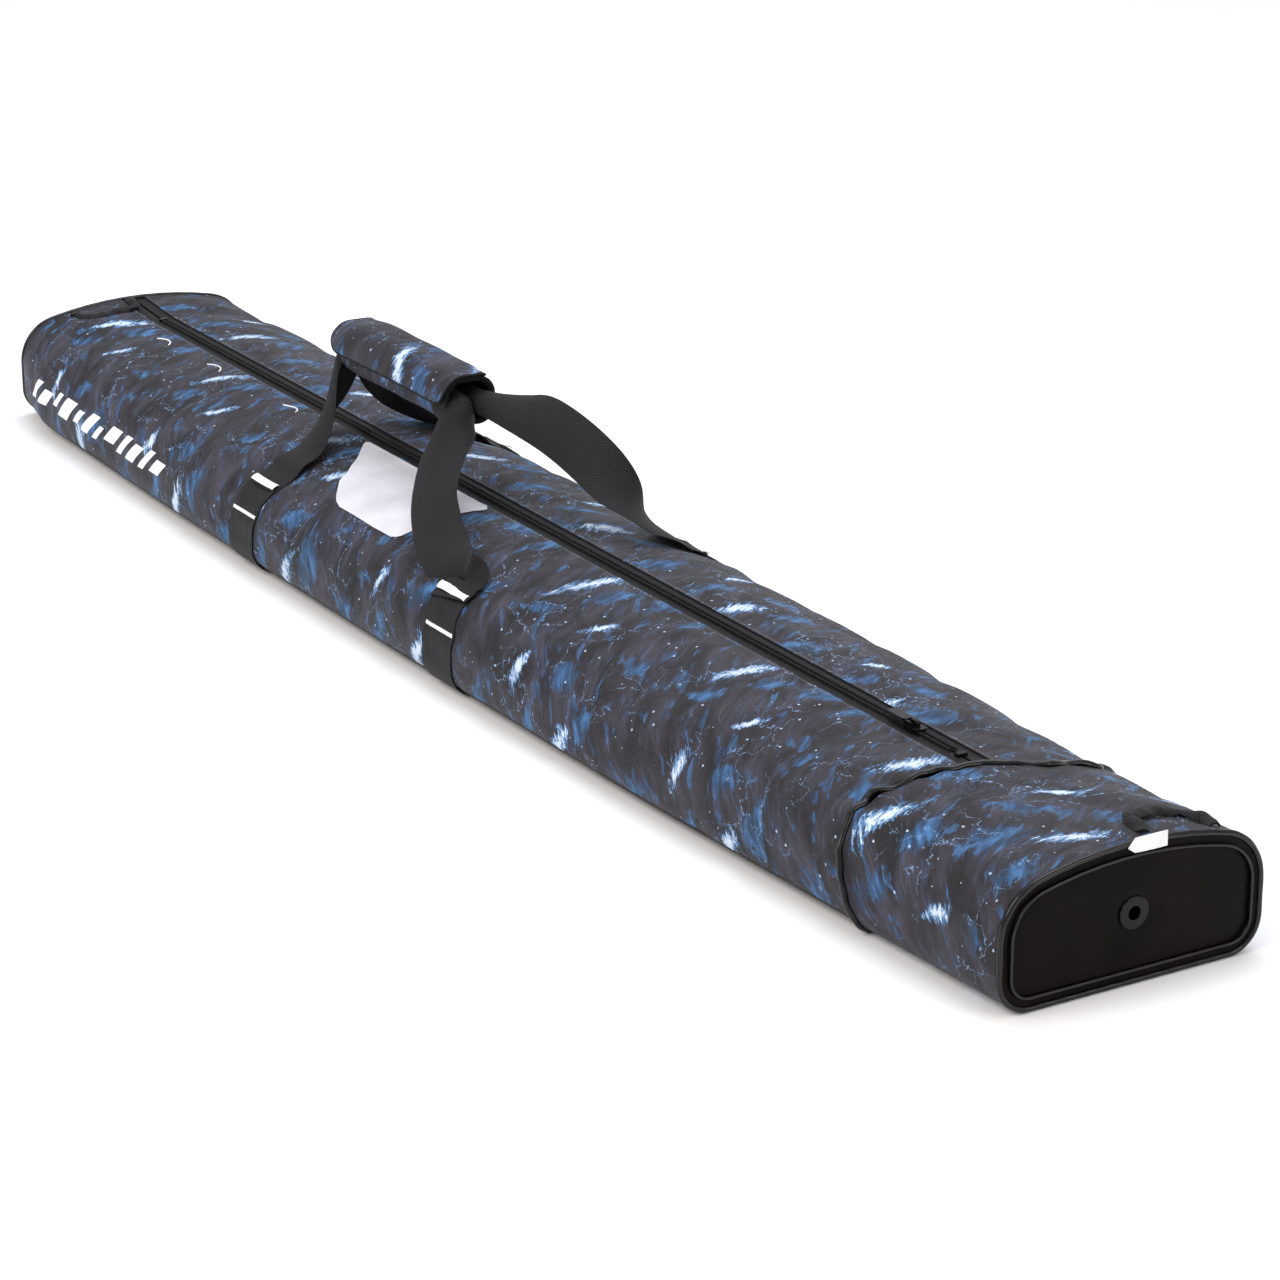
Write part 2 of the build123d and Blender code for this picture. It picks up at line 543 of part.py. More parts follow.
make_body_panels()
make_padding()
make_cuff()
make_ends()
make_flap("front", -1)
make_flap("back", 1)
make_fixed_zip()
make_slider()
make_straps()
make_grip()
make_id_patch()
make_haul_loop("near", END_X - 12, -1, NEAR_LOOP_Y)
make_haul_loop("far", -END_X + 12, 1, FAR_LOOP_Y)
make_care_tag()
fold_z = max(surface_z(x, HINGE_Y) for x in range(int(MOUTH_FAR), int(MOUTH_NEAR), 5)) + JOINT_GAP
print(f"the flaps fold about lines along X at y = +-{HINGE_Y:.0f}, z = {fold_z:.1f}")
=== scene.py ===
# %% [markdown]
# # A padded ski bag
# A ski bag is a long flat tube of printed polyester, backed with thin foam and a black lining, and
# sewn to two stiff end panels with a piping between. One long zip runs along its top, two straps go
# round its belly, and they carry two webbing loops that a padded grip holds together. We don't draw
# the bag as boxes: one rule gives every point of its skin, and each sewn piece is cut from that skin
# as a tailor cuts cloth, so that all pieces meet and wear the same creases.

# %% Load the model and a few helpers
import math
import bpy
import bmesh
import numpy as np
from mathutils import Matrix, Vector


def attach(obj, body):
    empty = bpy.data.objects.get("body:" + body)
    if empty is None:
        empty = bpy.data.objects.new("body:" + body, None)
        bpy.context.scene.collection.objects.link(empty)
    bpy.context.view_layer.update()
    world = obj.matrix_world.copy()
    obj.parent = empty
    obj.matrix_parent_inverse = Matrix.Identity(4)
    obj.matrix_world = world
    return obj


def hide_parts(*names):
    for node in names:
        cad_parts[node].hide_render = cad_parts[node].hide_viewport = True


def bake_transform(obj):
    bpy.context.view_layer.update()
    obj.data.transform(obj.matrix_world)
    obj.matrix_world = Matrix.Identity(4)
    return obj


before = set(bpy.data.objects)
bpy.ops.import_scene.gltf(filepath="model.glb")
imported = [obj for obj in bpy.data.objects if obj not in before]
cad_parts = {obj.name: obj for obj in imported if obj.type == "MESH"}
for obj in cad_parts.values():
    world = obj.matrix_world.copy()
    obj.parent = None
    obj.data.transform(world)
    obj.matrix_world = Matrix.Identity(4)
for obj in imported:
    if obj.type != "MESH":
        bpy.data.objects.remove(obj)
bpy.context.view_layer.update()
MM = 0.001

# %% [markdown]
# ## The skin
# The bag's section is a rounded box: a shallow crown on top, a wide round shoulder, a short side, a
# tighter bottom corner and a flat base. We could loft it from curves, but a formula is better here,
# because every strap, seam and patch has to lie on the same surface. A place on the skin is x along
# the bag, and the girth, which is measured from the zip down the front, under the base and up the back.

# %% The section's sizes in millimetres
STATIONS = np.array([
    [-880, 256, 112, 58],
    [-875, 256, 112, 58],
    [-795, 290, 106, 46],
    [-450, 304, 106, 40],
    [0, 300, 106, 40],
    [420, 284, 106, 40],
    [690, 256, 106, 46],
    [875, 236, 112, 58],
    [880, 236, 112, 58],
], float)
SHOULDER = 45.0
CORNER = 28.0
FLOOR = 1.7
SEAM_HEIGHT = 14.0
TAPE_SHOWN = 13.0
HINGE_Y = 112.0
MOUTH = (-745.0, 560.0)
CUFF_X = 690.0
FABRIC_END = 869.7


def section(x):
    """The rounds and the straight lengths of the section at x, as arrays."""
    width, height, side = [np.interp(x, STATIONS[:, 0], STATIONS[:, k]) for k in (1, 2, 3)]
    a = width / 2 - SHOULDER
    b = side - height
    crown = (SHOULDER**2 - a**2 - b**2) / (2 * (b + SHOULDER))
    centre = height - crown
    turn = np.arctan2(side - centre, a)
    ends = np.cumsum([
        crown * (np.pi / 2 - turn),
        SHOULDER * turn,
        side - FLOOR - CORNER,
        CORNER * np.pi / 2 + 0 * width,
        width / 2 - CORNER,
    ], axis=0)
    return width, side, a, crown, centre, turn, ends


def half_girth(x):
    """Length of the section from the zip to the middle of the base."""
    return section(x)[-1][-1]


def plain_skin(x, t):
    """Places and outward directions on the skin, with no creases."""
    width, side, a, crown, centre, turn, ends = section(x)
    front = t <= ends[4]
    g = np.clip(np.where(front, t, 2 * ends[4] - t), 0, None)
    low = FLOOR + CORNER
    top_angle = np.pi / 2 - g / crown
    shoulder_angle = turn - (g - ends[0]) / SHOULDER
    corner_angle = -(g - ends[2]) / CORNER
    here = [g < ends[0], g < ends[1], g < ends[2], g < ends[3]]
    y = np.select(here, [
        crown * np.cos(top_angle),
        a + SHOULDER * np.cos(shoulder_angle),
        width / 2,
        width / 2 - CORNER + CORNER * np.cos(corner_angle),
    ], width / 2 - CORNER - (g - ends[3]))
    z = np.select(here, [
        centre + crown * np.sin(top_angle),
        side + SHOULDER * np.sin(shoulder_angle),
        side - (g - ends[1]),
        low + CORNER * np.sin(corner_angle),
    ], FLOOR + 0 * g)
    angle = np.select(here, [top_angle, shoulder_angle, 0 * g, corner_angle], -np.pi / 2)
    hand = np.where(front, -1.0, 1.0)
    place = np.stack([x + 0 * g, hand * y, z], axis=-1)
    outward = np.stack([0 * g, hand * np.cos(angle), np.sin(angle)], axis=-1)
    return place, outward


def girth_at_y(x, y):
    """Girth where the top skin is y away from the zip."""
    width, side, a, crown, centre, turn, ends = section(x)
    on_crown = y <= crown * np.cos(turn)
    crown_girth = crown * np.arcsin(np.clip(y / crown, -1, 1))
    shoulder_girth = ends[0] + SHOULDER * (turn - np.arccos(np.clip((y - a) / SHOULDER, -1, 1)))
    return np.where(on_crown, crown_girth, shoulder_girth)


def girth_at_z(x, z):
    """Girth where the skin's side is at height z, below the crown."""
    width, side, a, crown, centre, turn, ends = section(x)
    low = FLOOR + CORNER
    on_shoulder = ends[0] + SHOULDER * (turn - np.arcsin(np.clip((z - side) / SHOULDER, -1, 1)))
    on_corner = ends[2] - CORNER * np.arcsin(np.clip((z - low) / CORNER, -1, 1))
    return np.where(z > side, on_shoulder, np.where(z > low, ends[1] + side - z, on_corner))


print("girth in the middle of the bag:", round(2 * float(half_girth(np.array(0.0)))), "mm")

# %% [markdown]
# ## Creases
# Real padded cloth is never quite even. It puffs between the lines where it is sewn or strapped down,
# and it wrinkles beside them. We let Blender's cloth solver find that: a coarse copy of the skin is
# held along the zip, the base, the straps and the cuff seam, cut 1.4 per cent too large, and blown up a
# little. Only its distance from the plain skin is kept, as a table that every piece looks up, so the
# pieces keep their clean grids and their woven directions, and the straps sit in the same hollows. At its
# full height the relief looks like a down jacket, so it is clipped, smoothed and used at a smaller share.

# %% Blow up a coarse copy of the skin
STRAPS = (-291.0, 92.0)
SHEET_X = np.linspace(-FABRIC_END, FABRIC_END, 175)
SHEET_T = np.linspace(0, 1, 81)


def smoothstep(low, high, value):
    """0 below low, 1 above high, and a soft change between them."""
    share = np.clip((value - low) / (high - low), 0, 1)
    return share * share * (3 - 2 * share)


def ease_noise(u, v, seed):
    """Soft repeatable waves between -1 and 1, from a few crossed sines."""
    rng = np.random.default_rng(seed)
    total = 0 * u * v
    for step in range(7):
        angle = rng.uniform(0, 2 * np.pi)
        size = rng.uniform(0.7, 1.9)
        total = total + np.sin(size * (u * np.cos(angle) + v * np.sin(angle)) + rng.uniform(0, 6.3))
    return total / 3.6


CREASE_SHARE = 0.7


def blown_skin():
    """Distance of a cloth simulation from the plain skin, in millimetres, along x and the girth."""
    x = SHEET_X[:, None] + 0 * SHEET_T[None, :]
    t = SHEET_T[None, :] * 2 * half_girth(x)
    place, outward = plain_skin(x, t)
    nx, nt = x.shape
    index = np.arange(nx * nt).reshape(nx, nt)
    faces = np.stack([index[:-1, :-1], index[:-1, 1:], index[1:, 1:], index[1:, :-1]], -1).reshape(-1, 4)
    dents = 0.35 * ease_noise(x / 13, t / 17, 11)[..., None] * outward
    mesh = bpy.data.meshes.new("coarse_skin")
    mesh.from_pydata(((place + dents) * MM).reshape(-1, 3).tolist(), [], faces.tolist())
    cloth_skin = bpy.data.objects.new("coarse_skin", mesh)
    bpy.context.scene.collection.objects.link(cloth_skin)
    held = (place[..., 2] < 16) | (np.abs(place[..., 1]) < 16) | (np.abs(x) > 862)
    held |= np.abs(x - CUFF_X) < 7
    for strap in STRAPS:
        held |= (np.abs(x - strap) < 24) & (place[..., 2] < 86)
    group = cloth_skin.vertex_groups.new(name="sewn down")
    group.add(index[held].ravel().tolist(), 1.0, "REPLACE")
    cloth = cloth_skin.modifiers.new("cloth", "CLOTH").settings
    cloth.quality = 6
    cloth.mass = 0.25
    cloth.tension_stiffness = 12
    cloth.compression_stiffness = 12
    cloth.shear_stiffness = 4
    cloth.bending_stiffness = 0.6
    cloth.shrink_min = -0.014
    cloth.use_pressure = True
    cloth.uniform_pressure_force = 2.0
    cloth.vertex_group_mass = "sewn down"
    cloth.effector_weights.gravity = 0
    scene = bpy.context.scene
    for step in range(1, 21):
        scene.frame_set(step)
    graph = bpy.context.evaluated_depsgraph_get()
    settled = cloth_skin.evaluated_get(graph).to_mesh()
    moved = np.array([v.co for v in settled.vertices]).reshape(nx, nt, 3) / MM - place
    scene.frame_set(1)
    bpy.data.objects.remove(cloth_skin)
    height = np.clip((moved * outward).sum(-1), -4.0, 5.0)
    # Foam under the cloth rounds off the sharpest wrinkles.
    for axis in (0, 1):
        height = (np.roll(height, 1, axis) + 2 * height + np.roll(height, -1, axis)) / 4
    return CREASE_SHARE * height


creases = blown_skin()
print("the cloth stands", round(float(creases.min()), 1), "to", round(float(creases.max()), 1),
      "mm off the skin")

# %% [markdown]
# ## From the table to the creased skin
# Between the table's points we read the crease height with a soft blend. Near the zip it fades to
# nothing, so that the slider has a level track, and a few folds that this bag always has are added one
# by one: a hollow under each strap, and drag folds that run away from the strap's upper end.

# %% The creased skin
SEAM_WAVE_PLACES = [0, 40, 68, 108, 135, 190, 300]
SEAM_WAVE = [-9, -16, -27, -25, -11, 16, 0]
BACK_WAVE_PLACES = [0, 43, 87, 130, 300]
BACK_WAVE = [-9, 20, 18, 6, 0]


def seam_wave(x, t):
    """How far the wavy cuff seam leaves its plane, in millimetres along x."""
    front = t <= half_girth(x)
    g = np.where(front, t, 2 * half_girth(x) - t)
    wave = np.where(front, np.interp(g, SEAM_WAVE_PLACES, SEAM_WAVE),
                    np.interp(g, BACK_WAVE_PLACES, BACK_WAVE))
    before = smoothstep(CUFF_X - 150, CUFF_X, x)
    after = 1 - smoothstep(CUFF_X, FABRIC_END - 15, x)
    return 0.8 * wave * np.where(x < CUFF_X, before, after)


def crease_height(x, t):
    """Height of the creases over the plain skin, in millimetres."""
    share = t / (2 * half_girth(x))
    i = np.clip((x - SHEET_X[0]) / (SHEET_X[1] - SHEET_X[0]), 0, len(SHEET_X) - 1.001)
    j = np.clip(share * (len(SHEET_T) - 1), 0, len(SHEET_T) - 1.001)
    i0 = i.astype(int)
    j0 = j.astype(int)
    fi = smoothstep(0, 1, i - i0)
    fj = smoothstep(0, 1, j - j0)
    near = creases[i0, j0] * (1 - fj) + creases[i0, j0 + 1] * fj
    far = creases[i0 + 1, j0] * (1 - fj) + creases[i0 + 1, j0 + 1] * fj
    height = near * (1 - fi) + far * fi
    place, outward = plain_skin(x, t)
    y = np.abs(place[..., 1])
    z = place[..., 2]
    for strap in STRAPS:
        beside = np.exp(-((x - strap) / 34) ** 2) * smoothstep(20, 40, z)
        height = height - 1.8 * beside
        for lean, reach in ((0.7, 70), (-0.6, 80)):
            line = (x - strap) - lean * (z - 66) - np.sign(lean) * 30
            drag = np.exp(-(line / 7) ** 2) * smoothstep(40, 70, z) * smoothstep(reach, 30, 118 - y + 20)
            height = height - 1.6 * drag
    fold = np.exp(-(((x - 242) - 0.5 * (z - 72)) / 8) ** 2) * np.exp(-((z - 72) / 16) ** 2)
    height = height - 3.0 * fold * (place[..., 1] < 0)
    pucker = np.exp(-((x - CUFF_X) / 26) ** 2) * np.sin(t / 4.1) * smoothstep(150, 60, np.abs(t - 40))
    height = height + 0.9 * pucker + 0.5 * ease_noise(x / 42, t / 30, 8)
    sewn = smoothstep(14, 34, y) + smoothstep(60, 50, z)
    ends = smoothstep(FABRIC_END, FABRIC_END - 22, np.abs(x))
    base = smoothstep(3, 24, z)
    return height * np.clip(sewn, 0, 1) * ends * base


def skin(x, t, off=0.0):
    """Places on the creased skin in metres, off millimetres further out."""
    x = x + 0.0 * t
    t = t + 0.0 * x
    place, outward = plain_skin(x, t)
    place = place + outward * (crease_height(x, t) + off)[..., None]
    place[..., 0] += seam_wave(x, t)
    return place * MM


def skin_normals(x, t):
    """Outward directions of the creased skin, from its slopes."""
    along = skin(x + 1.5, t) - skin(x - 1.5, t)
    round_ = skin(x, t + 1.5) - skin(x, t - 1.5)
    normal = np.cross(round_, along)
    return normal / np.linalg.norm(normal, axis=-1, keepdims=True)


# %% [markdown]
# ## One way to make every flat piece
# Cloth, webbing and tape are all the same kind of thing: a grid of places with a thickness. One helper
# turns a grid into a closed sheet with an outer face, an inner face and a rim, and gives it a flat
# pattern map in metres, which is how the cloth was cut, so weave and print follow the piece.

# %% Closed sheets from grids
def flat_piece(name, place, normal, outer, inner, pattern, materials, thin_edge=0.0, smooth_normals=True):
    """A closed sheet through a grid of places. outer and inner are offsets in metres."""
    nx, nt = place.shape[:2]
    across = np.minimum(np.arange(nt), np.arange(nt)[::-1])[None, :, None]
    edge = np.where(across == 0, 1 - thin_edge, 1.0)
    middle = (outer + inner) / 2
    half = (outer - inner) / 2 * edge
    top = place + normal * (middle + half)
    low = place + normal * (middle - half)
    index = np.arange(nx * nt).reshape(nx, nt)

    def quads(grid):
        return np.stack([grid[:-1, :-1], grid[:-1, 1:], grid[1:, 1:], grid[1:, :-1]], -1).reshape(-1, 4)

    outer_faces = quads(index)
    inner_faces = quads(index)[:, ::-1] + nx * nt
    ring = np.concatenate([index[:, 0], index[-1, 1:], index[-2::-1, -1], index[0, -2:0:-1]])
    nxt = np.roll(ring, -1)
    rim_faces = np.stack([ring, nxt, nxt + nx * nt, ring + nx * nt], -1)
    faces = np.concatenate([outer_faces, inner_faces, rim_faces])
    mesh = bpy.data.meshes.new(name)
    mesh.from_pydata(np.concatenate([top.reshape(-1, 3), low.reshape(-1, 3)]).tolist(), [], faces.tolist())
    for stuff in materials:
        mesh.materials.append(stuff)
    kinds = np.zeros(len(faces), np.int32)
    kinds[len(outer_faces):] = min(1, len(materials) - 1)
    kinds[2 * len(outer_faces):] = len(materials) - 1
    mesh.polygons.foreach_set("material_index", kinds)
    soft = np.ones(len(faces), bool)
    soft[2 * len(outer_faces):] = thin_edge > 0
    mesh.polygons.foreach_set("use_smooth", soft)
    corners = np.zeros(len(mesh.loops), np.int32)
    mesh.loops.foreach_get("vertex_index", corners)
    flat = np.tile(pattern.reshape(-1, 2), (2, 1))
    cut = mesh.uv_layers.new(name="cut")
    cut.data.foreach_set("uv", flat[corners].astype(np.float32).ravel())
    if smooth_normals:
        both = np.concatenate([normal.reshape(-1, 3), -normal.reshape(-1, 3)])[corners]
        if thin_edge == 0:
            both[8 * len(outer_faces):] = 0
        mesh.normals_split_custom_set(both.tolist())
    piece = bpy.data.objects.new(name, mesh)
    bpy.context.scene.collection.objects.link(piece)
    return piece


def skin_piece(name, x, t, outer, inner, materials, thin_edge=0.0):
    """A sheet cut from the creased skin. x and t are grids, outer and inner millimetres off the skin."""
    x = x + 0.0 * t
    t = t + 0.0 * x
    normal = skin_normals(x, t)
    piece = flat_piece(name, skin(x, t), normal, outer * MM, inner * MM, np.stack([x, t], -1) * MM,
                       materials, thin_edge)
    print(f"{name}: {x.shape[0]} by {x.shape[1]} points")
    return piece


def carry(piece, body, *nodes, finish=None):
    """Let the piece ride on its body in place of its CAD nodes."""
    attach(piece, body)
    stand_in(piece, *nodes, finish=finish)
    return piece


def stand_in(piece, *nodes, finish=None):
    """Hide the CAD nodes that the piece stands for; finish is not used."""
    if nodes:
        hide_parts(*nodes)


# %% [markdown]
# ## Colours and a node helper
# Colours are written as the sRGB codes that a colour picker shows, and one function turns them into
# the linear numbers that Blender renders with. One small helper adds a node with its settings and its
# links, so that a material reads as a list of steps.

# %% Colour and node helpers
def paint(code):
    """Linear colour from an sRGB hex code."""
    parts = [int(code[k:k + 2], 16) / 255 for k in (1, 3, 5)]
    linear = [p / 12.92 if p <= 0.04045 else ((p + 0.055) / 1.055) ** 2.4 for p in parts]
    return (*linear, 1.0)


def add(tree, kind, inputs=None, **settings):
    """Add one node; inputs are values or other nodes' sockets."""
    node = tree.nodes.new(kind)
    for key, value in settings.items():
        setattr(node, key, value)
    for key, value in (inputs or {}).items():
        if isinstance(value, bpy.types.NodeSocket):
            tree.links.new(value, node.inputs[key])
        else:
            node.inputs[key].default_value = value
    return node


def fresh_material(name, **shader_values):
    """A material with its shader, its tree and constant shader values."""
    stuff = bpy.data.materials.new(name)
    stuff.use_nodes = True
    tree = stuff.node_tree
    shader = tree.nodes["Principled BSDF"]
    for key, value in shader_values.items():
        shader.inputs[key.replace("_", " ")].default_value = value
    return stuff, tree, shader


def ramp(tree, value, *stops):
    """Colour ramp from (position, colour) pairs; a number stands for a grey."""
    node = add(tree, "ShaderNodeValToRGB", {0: value})
    points = node.color_ramp.elements
    while len(points) < len(stops):
        points.new(0.5)
    for point, (where, colour) in zip(points, stops):
        point.position = where
        point.color = paint(colour) if isinstance(colour, str) else (colour, colour, colour, 1)
    return node.outputs[0]

# %% [markdown]
# ## Printed polyester
# The body is 600 denier polyester, sublimation printed with a dark stormy pattern: a charcoal ground,
# brushed blue dabs, a few white splashes with light blue edges, fine broken cracks and paint specks. It
# could be one noise with a colour ramp, but that looks like smoke. We layer the marks as a painter
# would, each with its own size and lean, and let a fine bristle pattern break their edges.

# %% Printed polyester
def pattern_mm(tree):
    """The piece's flat pattern map, in millimetres."""
    cut = add(tree, "ShaderNodeUVMap", uv_map="cut")
    return add(tree, "ShaderNodeVectorMath", {0: cut.outputs[0], 1: (1000, 1000, 1000)},
               operation="MULTIPLY").outputs[0]


def marks(tree, place, across, along, lean, shift, detail=2.0, rough=0.5, bend=0.0):
    """Noise stretched to marks of a size in millimetres, leaning by an angle in degrees."""
    turned = add(tree, "ShaderNodeMapping", {
        "Vector": place,
        "Location": (shift, -shift * 0.7, 0),
        "Rotation": (0, 0, math.radians(lean)),
    })
    sized = add(tree, "ShaderNodeVectorMath", {0: turned.outputs[0], 1: (1 / across, 1 / along, 1)},
                operation="MULTIPLY")
    return add(tree, "ShaderNodeTexNoise", {
        "Vector": sized.outputs[0],
        "Scale": 1.0,
        "Detail": detail,
        "Roughness": rough,
        "Distortion": bend,
    }, noise_dimensions="2D").outputs["Fac"]


def times(tree, a, b, operation="MULTIPLY"):
    """Multiply, or another sum, of two values."""
    return add(tree, "ShaderNodeMath", {0: a, 1: b}, operation=operation, use_clamp=True).outputs[0]


def lay_over(tree, share, under, over):
    """One colour laid over another where share is 1."""
    return add(tree, "ShaderNodeMix", {0: share, 6: under, 7: over}, data_type="RGBA").outputs[2]


def weave_bump(tree, shader, place, thread, depth, extra=None):
    """Over-and-under threads of a size in millimetres, as a bump on the shader."""
    axes = add(tree, "ShaderNodeSeparateXYZ", {0: place})
    waves = []
    for k in (0, 1):
        turned = times(tree, axes.outputs[k], math.pi / thread, "MULTIPLY")
        turned.node.use_clamp = False
        waves.append(add(tree, "ShaderNodeMath", {0: turned}, operation="SINE").outputs[0])
    woven = add(tree, "ShaderNodeMath", {0: waves[0], 1: waves[1]}, operation="MULTIPLY").outputs[0]
    if extra is not None:
        woven = add(tree, "ShaderNodeMath", {0: extra, 1: 2.5, 2: woven}, operation="MULTIPLY_ADD").outputs[0]
    bump = add(tree, "ShaderNodeBump", {"Strength": 0.5, "Distance": depth * MM, "Height": woven})
    tree.links.new(bump.outputs[0], shader.inputs["Normal"])


# The print repeats every 244 by 230 mm. Each mark: middle, size across and along, lean in degrees.
SPLASHES = (
    (-72, 42, 9, 29, 18), (48, -34, 9, 26, 22), (12, 84, 6, 15, 34), (-28, -76, 6, 19, 12),
)
DABS = (
    (-30, 36, 13, 22, 30), (16, 12, 15, 24, 20), (-88, -28, 14, 26, 34), (86, -62, 15, 23, 24),
    (-60, 92, 12, 20, 40),
    (62, 22, 10, 22, 14), (38, -90, 13, 19, 46), (-10, -34, 9, 26, 26), (98, 96, 11, 18, 20),
)


def border_fade(tree, place):
    """Rises towards the border of the repeat, so that no stroke is cut straight across there."""
    edge = None
    for k, half in enumerate((122, 115)):
        along = add(tree, "ShaderNodeSeparateXYZ", {0: place}).outputs[k]
        share = add(tree, "ShaderNodeMath", {0: along, 1: half}, operation="DIVIDE").outputs[0]
        share = add(tree, "ShaderNodeMath", {0: share}, operation="ABSOLUTE").outputs[0]
        edge = (share if edge is None else
                add(tree, "ShaderNodeMath", {0: edge, 1: share}, operation="MAXIMUM").outputs[0])
    return ramp(tree, edge, (0.84, 0.0), (1.0, 1.0))


def nearest_stroke(tree, place, strokes):
    """How far each point is from the nearest stroke's middle, where 1 is the stroke's edge."""
    nearest = None
    for x, y, across, along, lean in strokes:
        local = add(tree, "ShaderNodeMapping", {
            "Vector": place,
            "Location": (x, y, 0),
            "Rotation": (0, 0, math.radians(lean)),
            "Scale": (across, along, 1),
        }, vector_type="TEXTURE")
        flat = add(tree, "ShaderNodeVectorMath", {0: local.outputs[0], 1: (1, 1, 0)}, operation="MULTIPLY")
        away = add(tree, "ShaderNodeVectorMath", {0: flat.outputs[0]}, operation="LENGTH").outputs["Value"]
        if nearest is not None:
            away = add(tree, "ShaderNodeMath", {0: nearest, 1: away}, operation="MINIMUM").outputs[0]
        nearest = away
    return add(tree, "ShaderNodeMath", {0: border_fade(tree, place), 1: 1.6, 2: nearest},
               operation="MULTIPLY_ADD").outputs[0]


def blur_edge(tree, value, *noises):
    """Add noises, each with its weight, round zero."""
    for noise, weight in noises:
        middled = add(tree, "ShaderNodeMath", {0: noise, 1: 0.5}, operation="SUBTRACT").outputs[0]
        value = add(tree, "ShaderNodeMath", {0: middled, 1: weight, 2: value},
                    operation="MULTIPLY_ADD").outputs[0]
    return value


def marks_warp(tree, place):
    """The place, pulled about by a fine noise, so that cracks branch unevenly."""
    fine = add(tree, "ShaderNodeTexNoise", {"Vector": place, "Scale": 0.07, "Detail": 3.0},
               noise_dimensions="2D")
    pull = add(tree, "ShaderNodeVectorMath", {0: fine.outputs["Color"], 1: (26, 26, 0), 2: place},
               operation="MULTIPLY_ADD")
    return pull.outputs[0]


